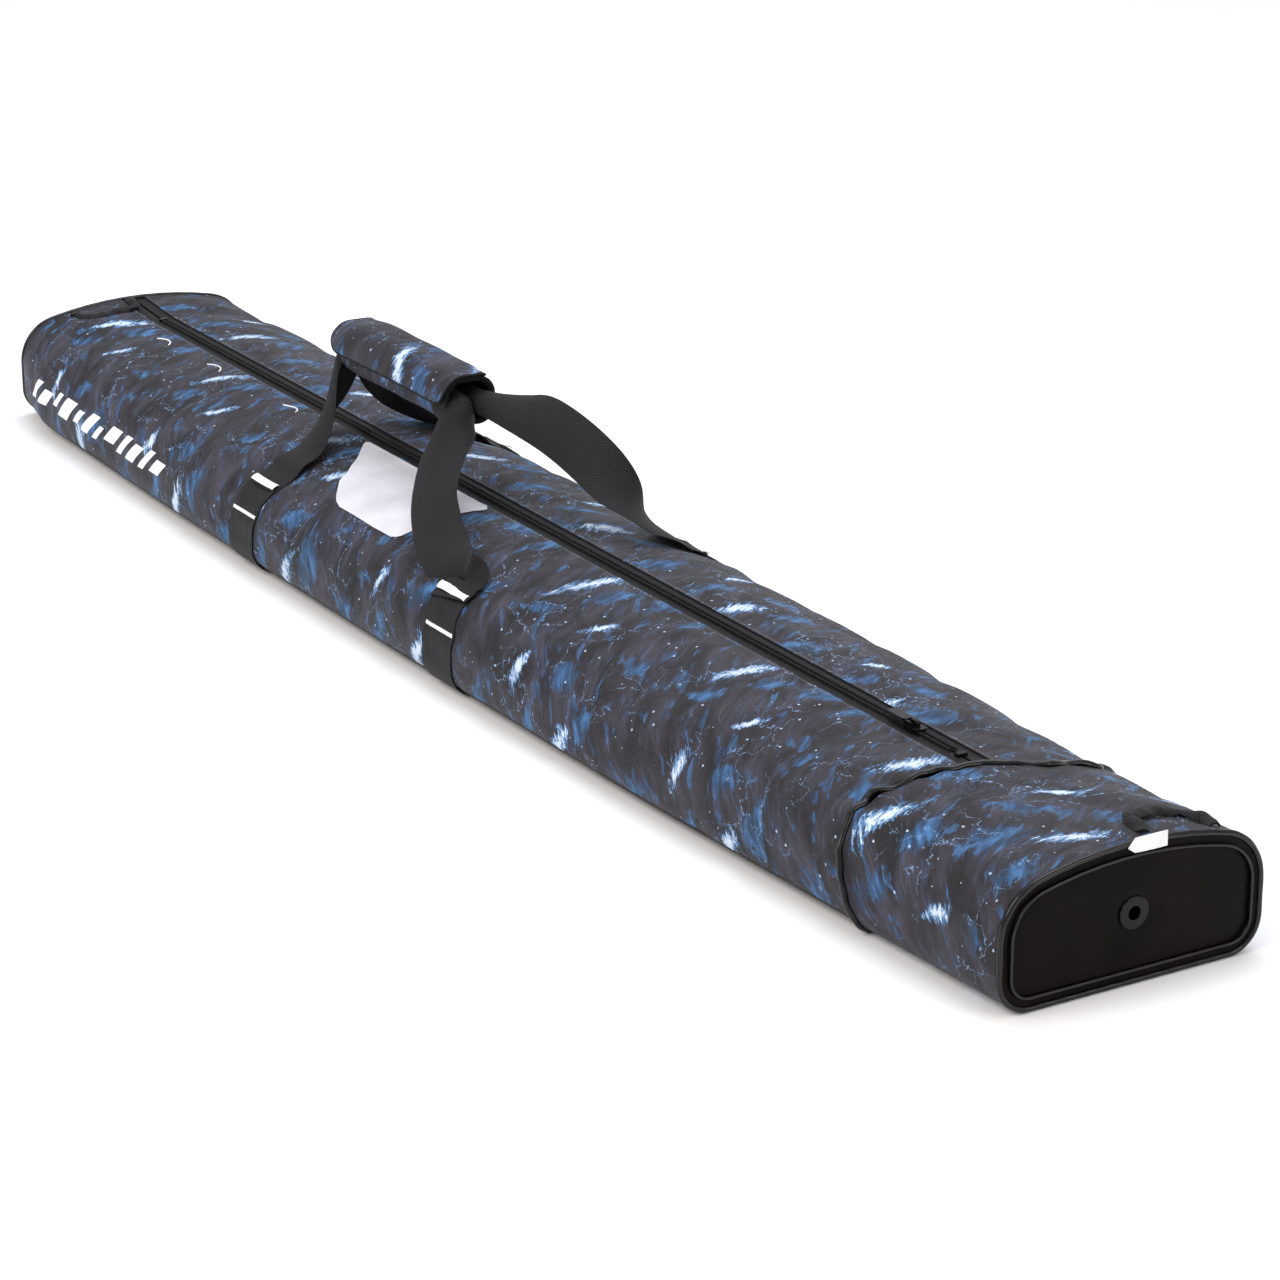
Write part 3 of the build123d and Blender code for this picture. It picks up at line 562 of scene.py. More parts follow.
def printed_polyester():
    """Woven polyester with the stormy print; the sheen gives the eye a dry, slightly dusty cloth."""
    stuff, tree, shader = fresh_material("polyester_printed", Sheen_Weight=0.05, Sheen_Roughness=0.5,
                                         Specular_IOR_Level=0.28)
    place = pattern_mm(tree)
    drift = add(tree, "ShaderNodeTexNoise", {"Vector": place, "Scale": 0.014, "Detail": 1.5},
                noise_dimensions="2D")
    pull = add(tree, "ShaderNodeVectorMath", {0: drift.outputs["Color"], 1: (0.5, 0.5, 0.5)},
               operation="SUBTRACT")
    moved = add(tree, "ShaderNodeVectorMath", {0: pull.outputs[0], 1: (30, 30, 0), 2: place},
                operation="MULTIPLY_ADD").outputs[0]
    repeat = add(tree, "ShaderNodeVectorMath", {0: moved, 1: (122, 115, 1), 2: (-122, -115, -1)},
                 operation="WRAP").outputs[0]
    ground = marks(tree, moved, 24, 55, 28, 40, 5, 0.62, 0.3)
    colour = ramp(tree, ground, (0.36, "#121015"), (0.47, "#211d25"), (0.6, "#2e2a33"), (0.74, "#3b3741"))
    bristles = marks(tree, moved, 1.6, 30, 24, 5, 3, 0.6)
    torn = marks(tree, moved, 6, 13, 22, 140, 5, 0.72, 0.3)
    ragged = marks(tree, moved, 1.8, 4.5, 24, 77, 4, 0.75, 0.3)
    veins = marks(tree, moved, 5, 38, 34, 9, 5, 0.68, 0.5)
    smoke = times(tree, ramp(tree, veins, (0.52, 0.0), (0.66, 0.42)),
                  ramp(tree, ground, (0.42, 0.1), (0.62, 1.0)))
    colour = lay_over(tree, smoke, colour, paint("#41597c"))
    dabs = nearest_stroke(tree, repeat, DABS)
    dabs = blur_edge(tree, dabs, (torn, 2.3), (bristles, 1.3), (ragged, 0.6))
    tone = marks(tree, moved, 9, 26, 24, 80, 3)
    blue = ramp(tree, tone, (0.36, "#1b3450"), (0.5, "#2a5079"), (0.64, "#3f6c9c"))
    colour = lay_over(tree, ramp(tree, dabs, (0.55, 0.92), (0.8, 0.5), (1.0, 0.0)), colour, blue)
    stray = times(tree, ramp(tree, marks(tree, moved, 12, 34, 40, 720, 2, 0.5, 0.2), (0.62, 0.0),
                             (0.68, 0.8)),
                  ramp(tree, bristles, (0.4, 0.3), (0.58, 1.0)))
    colour = lay_over(tree, stray, colour, blue)
    splash = nearest_stroke(tree, repeat, SPLASHES)
    halo = blur_edge(tree, splash, (torn, 2.6), (bristles, 1.6), (ragged, 0.8))
    colour = lay_over(tree, ramp(tree, halo, (0.7, 0.9), (1.0, 0.6), (1.5, 0.0)), colour, paint("#4a7bad"))
    core = blur_edge(tree, splash, (torn, 2.6), (bristles, 1.5), (ragged, 2.2))
    colour = lay_over(tree, ramp(tree, core, (0.34, 0.95), (0.54, 0.55), (0.7, 0.0)), colour,
                      paint("#cfdcec"))
    patches = ramp(tree, marks(tree, place, 60, 80, 0, 510, 2), (0.48, 0.0), (0.6, 1.0))
    net = add(tree, "ShaderNodeTexVoronoi", {"Vector": marks_warp(tree, moved), "Scale": 1 / 30,
                                             "Randomness": 1.0},
              feature="DISTANCE_TO_EDGE", voronoi_dimensions="2D")
    crack = ramp(tree, net.outputs["Distance"], (0.0, 0.9), (0.016, 0.6), (0.03, 0.0))
    crack = times(tree, times(tree, crack, patches), ramp(tree, ragged, (0.47, 0.0), (0.56, 1.0)))
    colour = lay_over(tree, crack, colour, paint("#7fa3cc"))
    for grain, rare, shift in ((11.0, 0.95, 0), (6.0, 0.975, 300)):
        dots_place = add(tree, "ShaderNodeMapping",
                         {"Vector": place, "Location": (shift, shift, 0)}).outputs[0]
        dots = add(tree, "ShaderNodeTexVoronoi", {"Vector": dots_place, "Scale": 1 / grain},
                   voronoi_dimensions="2D")
        near = ramp(tree, dots.outputs["Distance"], (0.0, 1.0), (0.07, 1.0), (0.12, 0.0))
        chance = add(tree, "ShaderNodeSeparateColor", {0: dots.outputs["Color"]}).outputs[0]
        speck = times(tree, near, ramp(tree, chance, (rare, 0.0), (rare + 0.01, 0.8)))
        colour = lay_over(tree, speck, colour, paint("#b9cfe9"))
    worn = marks(tree, place, 160, 120, 0, 60, 3)
    colour = add(tree, "ShaderNodeHueSaturation",
                 {"Color": colour, "Value": ramp(tree, worn, (0.3, 0.88), (0.7, 1.1))})
    tree.links.new(colour.outputs[0], shader.inputs["Base Color"])
    tree.links.new(ramp(tree, worn, (0.3, 0.56), (0.7, 0.7)), shader.inputs["Roughness"])
    # A 600 denier thread is 0.5 mm; it is drawn 1.3 mm wide so that the cloth reads as woven from afar.
    weave_bump(tree, shader, place, 1.3, 0.25, marks(tree, place, 9, 12, 20, 12, 3))
    return stuff


polyester_printed = printed_polyester()
print("printed polyester has", len(polyester_printed.node_tree.nodes), "nodes")

# %% [markdown]
# ## Plain black and white goods
# The other soft goods are near black, and only their surface tells them apart: nylon webbing has ribs
# across it, the lining is a light taffeta, the coated end cloth is smooth and half gloss with a brown
# cast, and the zip tape is a fine herringbone. Each one gets its own structure and its own gloss.

# %% Webbing, lining, coated cloth, tape and foam
def woven_material(name, dark, light, thread, depth, rough, grain=(8, 20), **shader_values):
    """Woven goods: two near tones in soft marks, thread bump, and uneven gloss."""
    stuff, tree, shader = fresh_material(name, **shader_values)
    place = pattern_mm(tree)
    tone = marks(tree, place, grain[0], grain[1], 10, 33, 4, 0.6)
    tree.links.new(ramp(tree, tone, (0.35, dark), (0.65, light)), shader.inputs["Base Color"])
    tree.links.new(ramp(tree, tone, (0.3, rough - 0.06), (0.7, rough + 0.08)), shader.inputs["Roughness"])
    weave_bump(tree, shader, place, thread, depth, tone)
    return stuff


# Webbing: heavy nylon, ribbed every 2 mm, dry with a faint shine where hands polish it.
nylon_webbing = woven_material("nylon_webbing_woven", "#0d0b0d", "#171518", 2.0, 0.5, 0.6, (3, 60),
                               Sheen_Weight=0.03, Specular_IOR_Level=0.22)
# Lining: light black taffeta, which looks flat and soft inside the bag.
taffeta_lining = woven_material("taffeta_lining_woven", "#121215", "#1b1b1f", 1.2, 0.12, 0.62,
                                Sheen_Weight=0.05)
# Zip tape: fine black twill beside the coil.
zip_twill = woven_material("polyester_zip_tape_woven", "#0b0a0c", "#151417", 1.6, 0.3, 0.55, (4, 12),
                           Specular_IOR_Level=0.22)
# Bound edges and the wrap's inside: black tricot over foam.
black_tricot = woven_material("tricot_binding_knitted", "#0a0a0b", "#131315", 1.4, 0.3, 0.7,
                              Sheen_Weight=0.04,
                              Specular_IOR_Level=0.2)
# Hook and loop tape: a black nap that swallows light.
hook_loop = woven_material("hook_and_loop_nylon", "#0d0d0f", "#242427", 1.5, 1.0, 0.85, (1.5, 1.5),
                           Sheen_Weight=0.3)
# Label cloth: bleached satin, nearly white.
white_satin = woven_material("satin_label_woven", "#dfdfe2", "#f2f2f4", 0.9, 0.1, 0.5)


def grained_material(name, dark, light, grain, depth, rough_low, rough_high, **shader_values):
    """Coated or moulded goods on Object coordinates: soft tones, a fine grain and uneven gloss."""
    stuff, tree, shader = fresh_material(name, **shader_values)
    where = add(tree, "ShaderNodeTexCoord").outputs["Object"]
    place = add(tree, "ShaderNodeVectorMath", {0: where, 1: (1000, 1000, 1000)},
                operation="MULTIPLY").outputs[0]
    cloud = add(tree, "ShaderNodeTexNoise", {"Vector": place, "Scale": 0.02, "Detail": 5.0}).outputs["Fac"]
    fine = add(tree, "ShaderNodeTexNoise", {"Vector": place, "Scale": 1 / grain,
                                            "Detail": 2.0}).outputs["Fac"]
    tree.links.new(ramp(tree, cloud, (0.35, dark), (0.65, light)), shader.inputs["Base Color"])
    tree.links.new(ramp(tree, cloud, (0.3, rough_low), (0.7, rough_high)), shader.inputs["Roughness"])
    bump = add(tree, "ShaderNodeBump", {"Strength": 0.6, "Distance": depth * MM, "Height": fine})
    tree.links.new(bump.outputs[0], shader.inputs["Normal"])
    return stuff


# Coated polyester of the ends and the base: smooth PVC film, half gloss, warm black.
coated_polyester = grained_material("pvc_coated_polyester", "#060303", "#110a08", 1.6, 0.12, 0.34, 0.46,
                                      Specular_IOR_Level=0.06)
# Piping: extruded PVC round a cord, glossy with a slightly wavy skin.
pvc_piping = grained_material("pvc_piping_extruded", "#060606", "#0d0d0e", 5.0, 0.2, 0.16, 0.28,
                              Specular_IOR_Level=0.35)
# Coil: black nylon monofilament, smooth and a little shiny.
nylon_coil = grained_material("nylon_coil_monofilament", "#09090a", "#131315", 1.0, 0.05, 0.3, 0.45,
                              Specular_IOR_Level=0.3)
# Bonded white thread of the bar tacks, and a greyer, thinner one along the zip.
white_thread = grained_material("polyester_thread_white", "#dcdad7", "#f3f2f0", 0.8, 0.25, 0.5, 0.65,
                                Sheen_Weight=0.2)
grey_thread = grained_material("polyester_thread_grey", "#5d5b62", "#7c7a82", 0.8, 0.2, 0.5, 0.65)
# Heat transfer film of the printed bars: white, smooth, half gloss.
transfer_film = grained_material("transfer_film_white", "#e4e5ea", "#f4f5f8", 2.5, 0.08, 0.38, 0.5)
# Address patch: white film over felt, which stays a little cloudy.
patch_film = grained_material("tpu_patch_film", "#c9c8d0", "#dad9e0", 3.0, 0.15, 0.36, 0.5,
                              Subsurface_Weight=0.0)
# Slider, link and stops: die cast zinc under black lacquer, worn to a paler tone.
black_zinc = grained_material("zinc_lacquered_black", "#0d0d0e", "#232325", 0.9, 0.06, 0.22, 0.4,
                              Metallic=0.7)
# Pull tab: soft moulded PVC, fine eroded skin.
soft_pvc = grained_material("pvc_pull_moulded", "#101012", "#191a1c", 0.7, 0.1, 0.42, 0.55)
# Eyelet: black lacquered brass, polished by its die.
lacquered_eyelet = grained_material("brass_eyelet_lacquered", "#08080a", "#141416", 1.5, 0.04, 0.14, 0.24,
                                    Metallic=0.6)
print("materials so far:", len(bpy.data.materials))

# %% [markdown]
# ## The padded body
# The front of the bag is one cut of cloth from the bottom seam to the zip, and so is the back. The
# mouth's long edges open: the cloth folds along a line on the shoulder, and it stays shut at the zip's
# two ends. Each side is cut into a middle between the two stretches, two stretches beside the mouth's
# ends, the lower parts under those stretches, and the parts that stay shut. A piece can bend across
# one joint in one direction. All have the same skin and the same normals, so the cuts don't show.

# %% Grids for the body
def columns(x0, x1, pitch):
    """Evenly spaced places along the bag."""
    return np.linspace(x0, x1, max(2, int(round((x1 - x0) / pitch)) + 1))


def side_rows(x, hand, parts, pitch=5.0):
    """Rows of girth for a side: parts is a list of edges, from the zip to the seam."""
    edges = {
        "zip": girth_at_y(x, TAPE_SHOWN + 0 * x),
        "fold": girth_at_y(x, HINGE_Y + 0 * x),
        "seam": girth_at_z(x, SEAM_HEIGHT + 0 * x),
    }
    pieces = []
    for a, b in zip(parts, parts[1:]):
        count = max(2, int(round(float(np.mean(edges[b] - edges[a])) / pitch)))
        share = np.linspace(0, 1, count + 1)[None, :]
        pieces.append(edges[a][:, None] * (1 - share) + edges[b][:, None] * share)
    rows = np.concatenate([pieces[0]] + [p[:, 1:] for p in pieces[1:]], axis=1)
    if hand > 0:
        rows = (2 * half_girth(x)[:, None] - rows)[:, ::-1]
    return rows


def body_piece(name, hand, x0, x1, parts, outer=0.0, inner=-7.4, materials=None, pitch=5.0):
    """A padded piece of one side, between two places along the bag and two edges round it."""
    x = columns(x0, x1, pitch)
    goods = materials or [polyester_printed, taffeta_lining, black_tricot]
    return skin_piece(name, x[:, None], side_rows(x, hand, parts, pitch), outer, inner, goods)


TWIST = 100.0
SIDES = (("front", -1, "front_flap"), ("back", 1, "back_flap"))
STILL_FAR = (-FABRIC_END, MOUTH[0])
TWIST_FAR = (MOUTH[0], MOUTH[0] + TWIST)
OPENING = (MOUTH[0] + TWIST, MOUTH[1] - TWIST)
TWIST_NEAR = (MOUTH[1] - TWIST, MOUTH[1])
STILL_NEAR = (MOUTH[1], CUFF_X - 2.8)

# %% Cut the two sides
for side, hand, flap in SIDES:
    middle = body_piece(f"{side}_padded_side", hand, *OPENING, ("zip", "fold", "seam"))
    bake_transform(middle)
    stand_in(middle, f"{side}_side_panel", f"{side}_top_flap", f"{side}_foam", f"{side}_flap_foam",
             f"{side}_flap_lining", finish="printed_fabric")
    for end, (x0, x1) in (("far", TWIST_FAR), ("near", TWIST_NEAR)):
        twist = body_piece(f"{side}_{end}_mouth_corner", hand, x0, x1, ("zip", "fold"))
        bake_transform(twist)
        stand_in(twist, f"{side}_top_flap", finish="printed_fabric")
        under = body_piece(f"{side}_{end}_lower_side", hand, x0, x1, ("fold", "seam"))
        carry(under, "base", f"{side}_side_panel", finish="printed_fabric")
        a, b = STILL_FAR if end == "far" else STILL_NEAR
        closed = body_piece(f"{side}_{end}_closed_side", hand, a, b, ("zip", "fold", "seam"))
        carry(closed, "base", f"{side}_side_panel", f"{end}_top_panel", finish="printed_fabric")

# %% [markdown]
# ## Base and cuff
# The base is coated cloth, because it lies in snow, and it is sewn to the sides a thumb's width above
# the floor. The near end has a cuff of the same print, whose pattern starts afresh at its seam, so its
# marks don't line up with the body's. It runs round the whole end as one tube.

# %% Base and cuff
base_x = columns(-FABRIC_END, CUFF_X - 2.8, 7.0)
seam_girth = girth_at_z(base_x, SEAM_HEIGHT - 0.3 + 0 * base_x)[:, None]
share = np.linspace(0, 1, 45)[None, :]
base_t = seam_girth + share * (2 * half_girth(base_x)[:, None] - 2 * seam_girth)
base_cloth = skin_piece("coated_base", base_x[:, None], base_t, 0.0, -7.4,
                        [coated_polyester, taffeta_lining, black_tricot])
carry(base_cloth, "base", "bottom_panel", "bottom_foam", "lining", finish="coated_fabric")

cuff_x = columns(CUFF_X + 2.8, FABRIC_END, 4.5)
cuff_share = np.linspace(0, 1, 150)[None, :]
cuff_t = (cuff_share * 2 + 1) * half_girth(cuff_x)[:, None]
cuff_t = np.where(cuff_t > 2 * half_girth(cuff_x)[:, None], cuff_t - 2 * half_girth(cuff_x)[:, None], cuff_t)
cuff_place = skin(cuff_x[:, None] + 0 * cuff_t, cuff_t)
cuff_normal = skin_normals(cuff_x[:, None] + 0 * cuff_t, cuff_t)
cuff_cut = np.stack([cuff_x[:, None] + 0 * cuff_t + 431, cuff_share * 2 * half_girth(cuff_x)[:, None] + 87],
                    -1)
cuff = flat_piece("printed_cuff", cuff_place, cuff_normal, 0.4 * MM, -5.0 * MM, cuff_cut * MM,
                  [polyester_printed, taffeta_lining, black_tricot])
carry(cuff, "base", "cuff_front", "cuff_back", "cuff_top", "cuff_bottom", finish="printed_fabric")

# %% [markdown]
# ## Ends and pipings
# Each end is a board covered in coated cloth, a little domed, and sewn to the body with a fat glossy
# piping. The near end has a second, thinner ridge inside the piping, and a drain eyelet in its middle.
# We draw the panel as rings that shrink from the outline to the eyelet, so its folds can follow them.

# %% End panels
def outline_ring(x, inset, count=160):
    """Closed ring on the plain skin at x, inset millimetres inwards."""
    t = np.linspace(0, 2 * float(half_girth(np.array(x))), count, endpoint=False)
    place, outward = plain_skin(x + 0 * t, t)
    return place - outward * inset


def end_panel(name, x, way, hole, nodes):
    """A domed panel of coated cloth over its board. way is the direction it faces along x."""
    ring = outline_ring(x, 1.4)
    centre = np.array([x, 0.0, 57.0])
    angle = np.arctan2(ring[:, 2] - 57.0, ring[:, 1])
    circle = centre + np.stack([0 * angle, hole * np.cos(angle), hole * np.sin(angle)], -1)
    share = np.linspace(1, 0, 34)[:, None, None]
    place = circle[None] * (1 - share) + ring[None] * share
    rim = 1 - share[..., 0]
    bulge = 1.1 * smoothstep(0.0, 0.5, rim) - 0.5 * np.exp(-((rim - 0.1) / 0.05) ** 2)
    wrinkle = (0.2 * np.sin(angle[None] * 31 + 4 * np.sin(3 * angle[None]))
               * np.exp(-((rim - 0.07) / 0.06) ** 2))
    wrinkle = wrinkle + 0.35 * ease_noise(place[..., 1] / 26, place[..., 2] / 20, 5) * smoothstep(0, 0.2, rim)
    wrinkle = wrinkle * smoothstep(1.0, 0.8, rim)
    place[..., 0] += way * (bulge * smoothstep(1.0, 0.75, rim) + wrinkle)
    place = np.concatenate([place, place[:, :1]], axis=1)
    if way < 0:
        place = place[:, ::-1]
    closed = np.concatenate([place[:, -3:-1], place, place[:, 1:3]], axis=1)
    normal = np.cross(np.gradient(closed, axis=1), np.gradient(closed, axis=0))[:, 2:-2]
    normal /= np.linalg.norm(normal, axis=-1, keepdims=True)
    flat = place[..., 1:] * MM
    panel = flat_piece(name, place * MM, normal, 0.4 * MM, -5.0 * MM, flat,
                       [coated_polyester, taffeta_lining, coated_polyester])
    return carry(panel, "base", *nodes, finish="coated_fabric")


end_panel("near_end_cloth", 872.4, 1, 6.0, ("near_end_panel", "near_end_board"))
end_panel("far_end_cloth", -872.4, -1, 0.3, ("far_end_panel", "far_end_board"))


# %% Pipings
def tube(name, places, radius, stuff, closed=True, waver=0.0):
    """A round cord through places in millimetres, with a slightly uneven skin."""
    line = np.array(places, float)
    before = np.roll(line, 1, axis=0)
    after = np.roll(line, -1, axis=0)
    if not closed:
        before[0] = line[0]
        after[-1] = line[-1]
    run = after - before
    run /= np.linalg.norm(run, axis=-1, keepdims=True)
    side = np.zeros_like(run)
    side[0] = np.cross(run[0], [0.31, 0.2, 0.93])
    side[0] /= np.linalg.norm(side[0])
    for k in range(1, len(line)):
        side[k] = side[k - 1] - run[k] * (side[k - 1] @ run[k])
        side[k] /= np.linalg.norm(side[k])
    up = np.cross(run, side)
    angle = np.linspace(0, 2 * np.pi, 13)[:-1]
    length = np.cumsum(np.linalg.norm(line - before, axis=-1))
    thick = radius * (1 + waver * np.sin(length / 3.1)[:, None] * np.cos(angle * 2)[None])
    rings = line[:, None] + thick[..., None] * (
        np.cos(angle)[None, :, None] * side[:, None] + np.sin(angle)[None, :, None] * up[:, None])
    n, m = rings.shape[:2]
    index = np.arange(n * m).reshape(n, m)
    if closed:
        turn = int(round(np.arctan2(side[0] @ up[-1], side[0] @ side[-1]) / (2 * np.pi) * m))
        index = np.concatenate([index, np.roll(index[:1], turn, axis=1)])
    around = np.roll(index, -1, axis=1)
    faces = np.stack([index[:-1], index[1:], around[1:], around[:-1]], -1).reshape(-1, 4).tolist()
    if not closed:
        faces += [index[0].tolist(), index[-1, ::-1].tolist()]
    mesh = bpy.data.meshes.new(name)
    mesh.from_pydata((rings * MM).reshape(-1, 3).tolist(), [], faces)
    mesh.materials.append(stuff)
    work = bmesh.new()
    work.from_mesh(mesh)
    bmesh.ops.recalc_face_normals(work, faces=work.faces)
    work.to_mesh(mesh)
    work.free()
    mesh.shade_smooth()
    piece = bpy.data.objects.new(name, mesh)
    bpy.context.scene.collection.objects.link(piece)
    return piece


for name, x in (("near_end_piping_cord", 872.5), ("far_end_piping_cord", -872.5)):
    cord_line = outline_ring(x, 0.9, 240)
    carry(tube(name, cord_line, 2.5, pvc_piping, waver=0.05), "base", name.replace("_cord", ""),
          finish="piping")
ridge_line = outline_ring(874.4, 10.0, 220)
carry(tube("near_end_ridge_cord", ridge_line, 1.3, pvc_piping, waver=0.04), "base", "near_end_ridge",
      finish="piping")
seam_t = np.linspace(0, 2 * float(half_girth(np.array(CUFF_X))), 320, endpoint=False)
seam_line = skin(CUFF_X + 0 * seam_t, seam_t, 0.9) / MM
seam_line[:, 0] += (3.0 * np.sin(seam_t / 8.3) * (seam_line[:, 2] > 90)
                    * smoothstep(15, 35, np.abs(seam_line[:, 1])))
seam_line[:, 2] += (1.4 * np.sin(seam_t / 6.1) * (seam_line[:, 2] > 90)
                    * smoothstep(20, 40, np.abs(seam_line[:, 1])))
seam_line[:, 2] = np.maximum(seam_line[:, 2], 2.9)
carry(tube("cuff_piping_cord", seam_line, 3.0, pvc_piping, waver=0.08), "base", "cuff_seam_piping",
      finish="piping")
print("pipings laid")

# %% [markdown]
# ## The zip
# A coil zip is two woven tapes, each with a nylon coil sewn to its edge. The coil repeats every one and a
# half millimetres, so Geometry Nodes lay it: one link of the coil, laid along a line at even steps. The
# same tree lays the row of stitches that holds the tape to the body, with another link and another step.

# %% A tree that lays links along a line
def laying_tree():
    """Geometry Nodes: resample a line by a pitch, put a link at each step, join them in one mesh."""
    tree = bpy.data.node_groups.new("links_along_a_line", "GeometryNodeTree")
    face = tree.interface
    face.new_socket("Geometry", in_out="INPUT", socket_type="NodeSocketGeometry")
    face.new_socket("Pitch", in_out="INPUT", socket_type="NodeSocketFloat")
    face.new_socket("Link", in_out="INPUT", socket_type="NodeSocketObject")
    face.new_socket("Material", in_out="INPUT", socket_type="NodeSocketMaterial")
    face.new_socket("Geometry", in_out="OUTPUT", socket_type="NodeSocketGeometry")
    given = tree.nodes.new("NodeGroupInput").outputs
    curve = add(tree, "GeometryNodeMeshToCurve", {0: given["Geometry"]})
    level = add(tree, "GeometryNodeSetCurveNormal", {0: curve.outputs[0]}, mode="Z_UP")
    points = add(tree, "GeometryNodeCurveToPoints", {"Curve": level.outputs[0], "Length": given["Pitch"]},
                 mode="LENGTH")
    link = add(tree, "GeometryNodeObjectInfo", {"Object": given["Link"]})
    laid = add(tree, "GeometryNodeInstanceOnPoints", {
        "Points": points.outputs["Points"],
        "Instance": link.outputs["Geometry"],
        "Rotation": points.outputs["Rotation"],
    })
    real = add(tree, "GeometryNodeRealizeInstances", {0: laid.outputs[0]})
    smooth = add(tree, "GeometryNodeSetShadeSmooth", {0: real.outputs[0]})
    dressed = add(tree, "GeometryNodeSetMaterial", {0: smooth.outputs[0], "Material": given["Material"]})
    add(tree, "NodeGroupOutput", {0: dressed.outputs[0]})
    return tree


LAYING = laying_tree()


def lay_links(name, lines, link, pitch, stuff):
    """One mesh of links laid along lines, which are arrays of places in metres."""
    places, edges = [], []
    for line in lines:
        start = len(places)
        places += line.tolist()
        edges += [(start + k, start + k + 1) for k in range(len(line) - 1)]
    mesh = bpy.data.meshes.new(name + "_line")
    mesh.from_pydata(places, edges, [])
    guide = bpy.data.objects.new(name + "_line", mesh)
    bpy.context.scene.collection.objects.link(guide)
    laying = guide.modifiers.new("lay", "NODES")
    laying.node_group = LAYING
    for item in LAYING.interface.items_tree:
        if item.in_out == "INPUT" and item.name in ("Pitch", "Link", "Material"):
            laying[item.identifier] = {"Pitch": pitch * MM, "Link": link, "Material": stuff}[item.name]
    graph = bpy.context.evaluated_depsgraph_get()
    made = bpy.data.meshes.new_from_object(guide.evaluated_get(graph))
    bpy.data.objects.remove(guide)
    piece = bpy.data.objects.new(name, made)
    bpy.context.scene.collection.objects.link(piece)
    print(f"{name}: {len(made.polygons)} faces")
    return piece


# %% The links: a turn of the coil, and a stitch
def ring_link(name, wide, tall, thick, lean):
    """One turn of a coil: a leaning flattened ring across the line."""
    mesh = bpy.data.meshes.new(name)
    places, faces = [], []
    for k in range(8):
        turn = 2 * np.pi * k / 8
        middle = Vector((wide / 2 * math.cos(turn), tall / 2 * math.sin(turn), lean * math.sin(turn)))
        out = Vector((math.cos(turn), math.sin(turn), 0))
        for j in range(4):
            spin = 2 * np.pi * j / 4 + 0.8
            places.append((middle + out * (thick * math.cos(spin)) + Vector((0, 0,
                                                                             thick * math.sin(spin)))) * MM)
            a, b = k * 4 + j, k * 4 + (j + 1) % 4
            c, d = ((k + 1) % 8) * 4 + j, ((k + 1) % 8) * 4 + (j + 1) % 4
            faces.append((a, c, d, b))
    mesh.from_pydata(places, [], faces)
    return hidden_link(mesh, name)


def hidden_link(mesh, name):
    """The link's object, with its faces outwards and itself out of the render."""
    work = bmesh.new()
    work.from_mesh(mesh)
    bmesh.ops.recalc_face_normals(work, faces=work.faces)
    work.to_mesh(mesh)
    work.free()
    link = bpy.data.objects.new(name, mesh)
    bpy.context.scene.collection.objects.link(link)
    link.hide_render = True
    return link


def stitch_link(name, long, wide, high):
    """One stitch along the line: a bead, high in its middle and sunk at both ends."""
    mesh = bpy.data.meshes.new(name)
    places, faces = [], []
    for k, (where, size) in enumerate(((-0.5, 0.3), (-0.25, 0.9), (0.25, 0.9), (0.5, 0.3))):
        for j in range(6):
            spin = 2 * np.pi * j / 6
            sink = (1 - size) * high
            places.append(Vector((wide / 2 * size * math.cos(spin), high / 2 * size * math.sin(spin) + sink,
                                  where * long)) * MM)
            if k < 3:
                a, b = k * 6 + j, k * 6 + (j + 1) % 6
                faces.append((a, b, b + 6, a + 6))
    faces += [tuple(range(5, -1, -1)), tuple(range(18, 24))]
    mesh.from_pydata(places, [], faces)
    return hidden_link(mesh, name)


coil_turn = ring_link("coil_turn", 2.0, 1.9, 0.42, 0.35)
zip_stitch = stitch_link("zip_stitch", 3.2, 0.8, 0.5)
tack_stitch = stitch_link("tack_stitch", 0.9, 3.0, 1.0)


# %% [markdown]
# ## Laying the zip on the bag
# Tapes, coils and stitches follow the mouth: the long middle rides on each flap, the two stretches beside
# the mouth's ends stay where they are laid, and the rest rides on the base.

# %% Tapes, coils and stitches
def zip_line(x0, x1, y, rise, hand):
    """Line along the zip, y millimetres aside, rise millimetres over the skin."""
    x = columns(x0, x1, 6.0)
    g = girth_at_y(x, y + 0 * x)
    t = g if hand < 0 else 2 * half_girth(x) - g
    return skin(x, t, rise)


def tape(name, x0, x1, hand):
    """One woven tape, from beside the coil to under the cloth."""
    x = columns(x0, x1, 6.0)
    y = np.linspace(1.3, 18.5, 9)[None, :]
    g = girth_at_y(x[:, None], y + 0 * x[:, None])
    t = g if hand < 0 else (2 * half_girth(x)[:, None] - g)[:, ::-1]
    return skin_piece(name, x[:, None], t, -1.5, -2.3, [zip_twill])


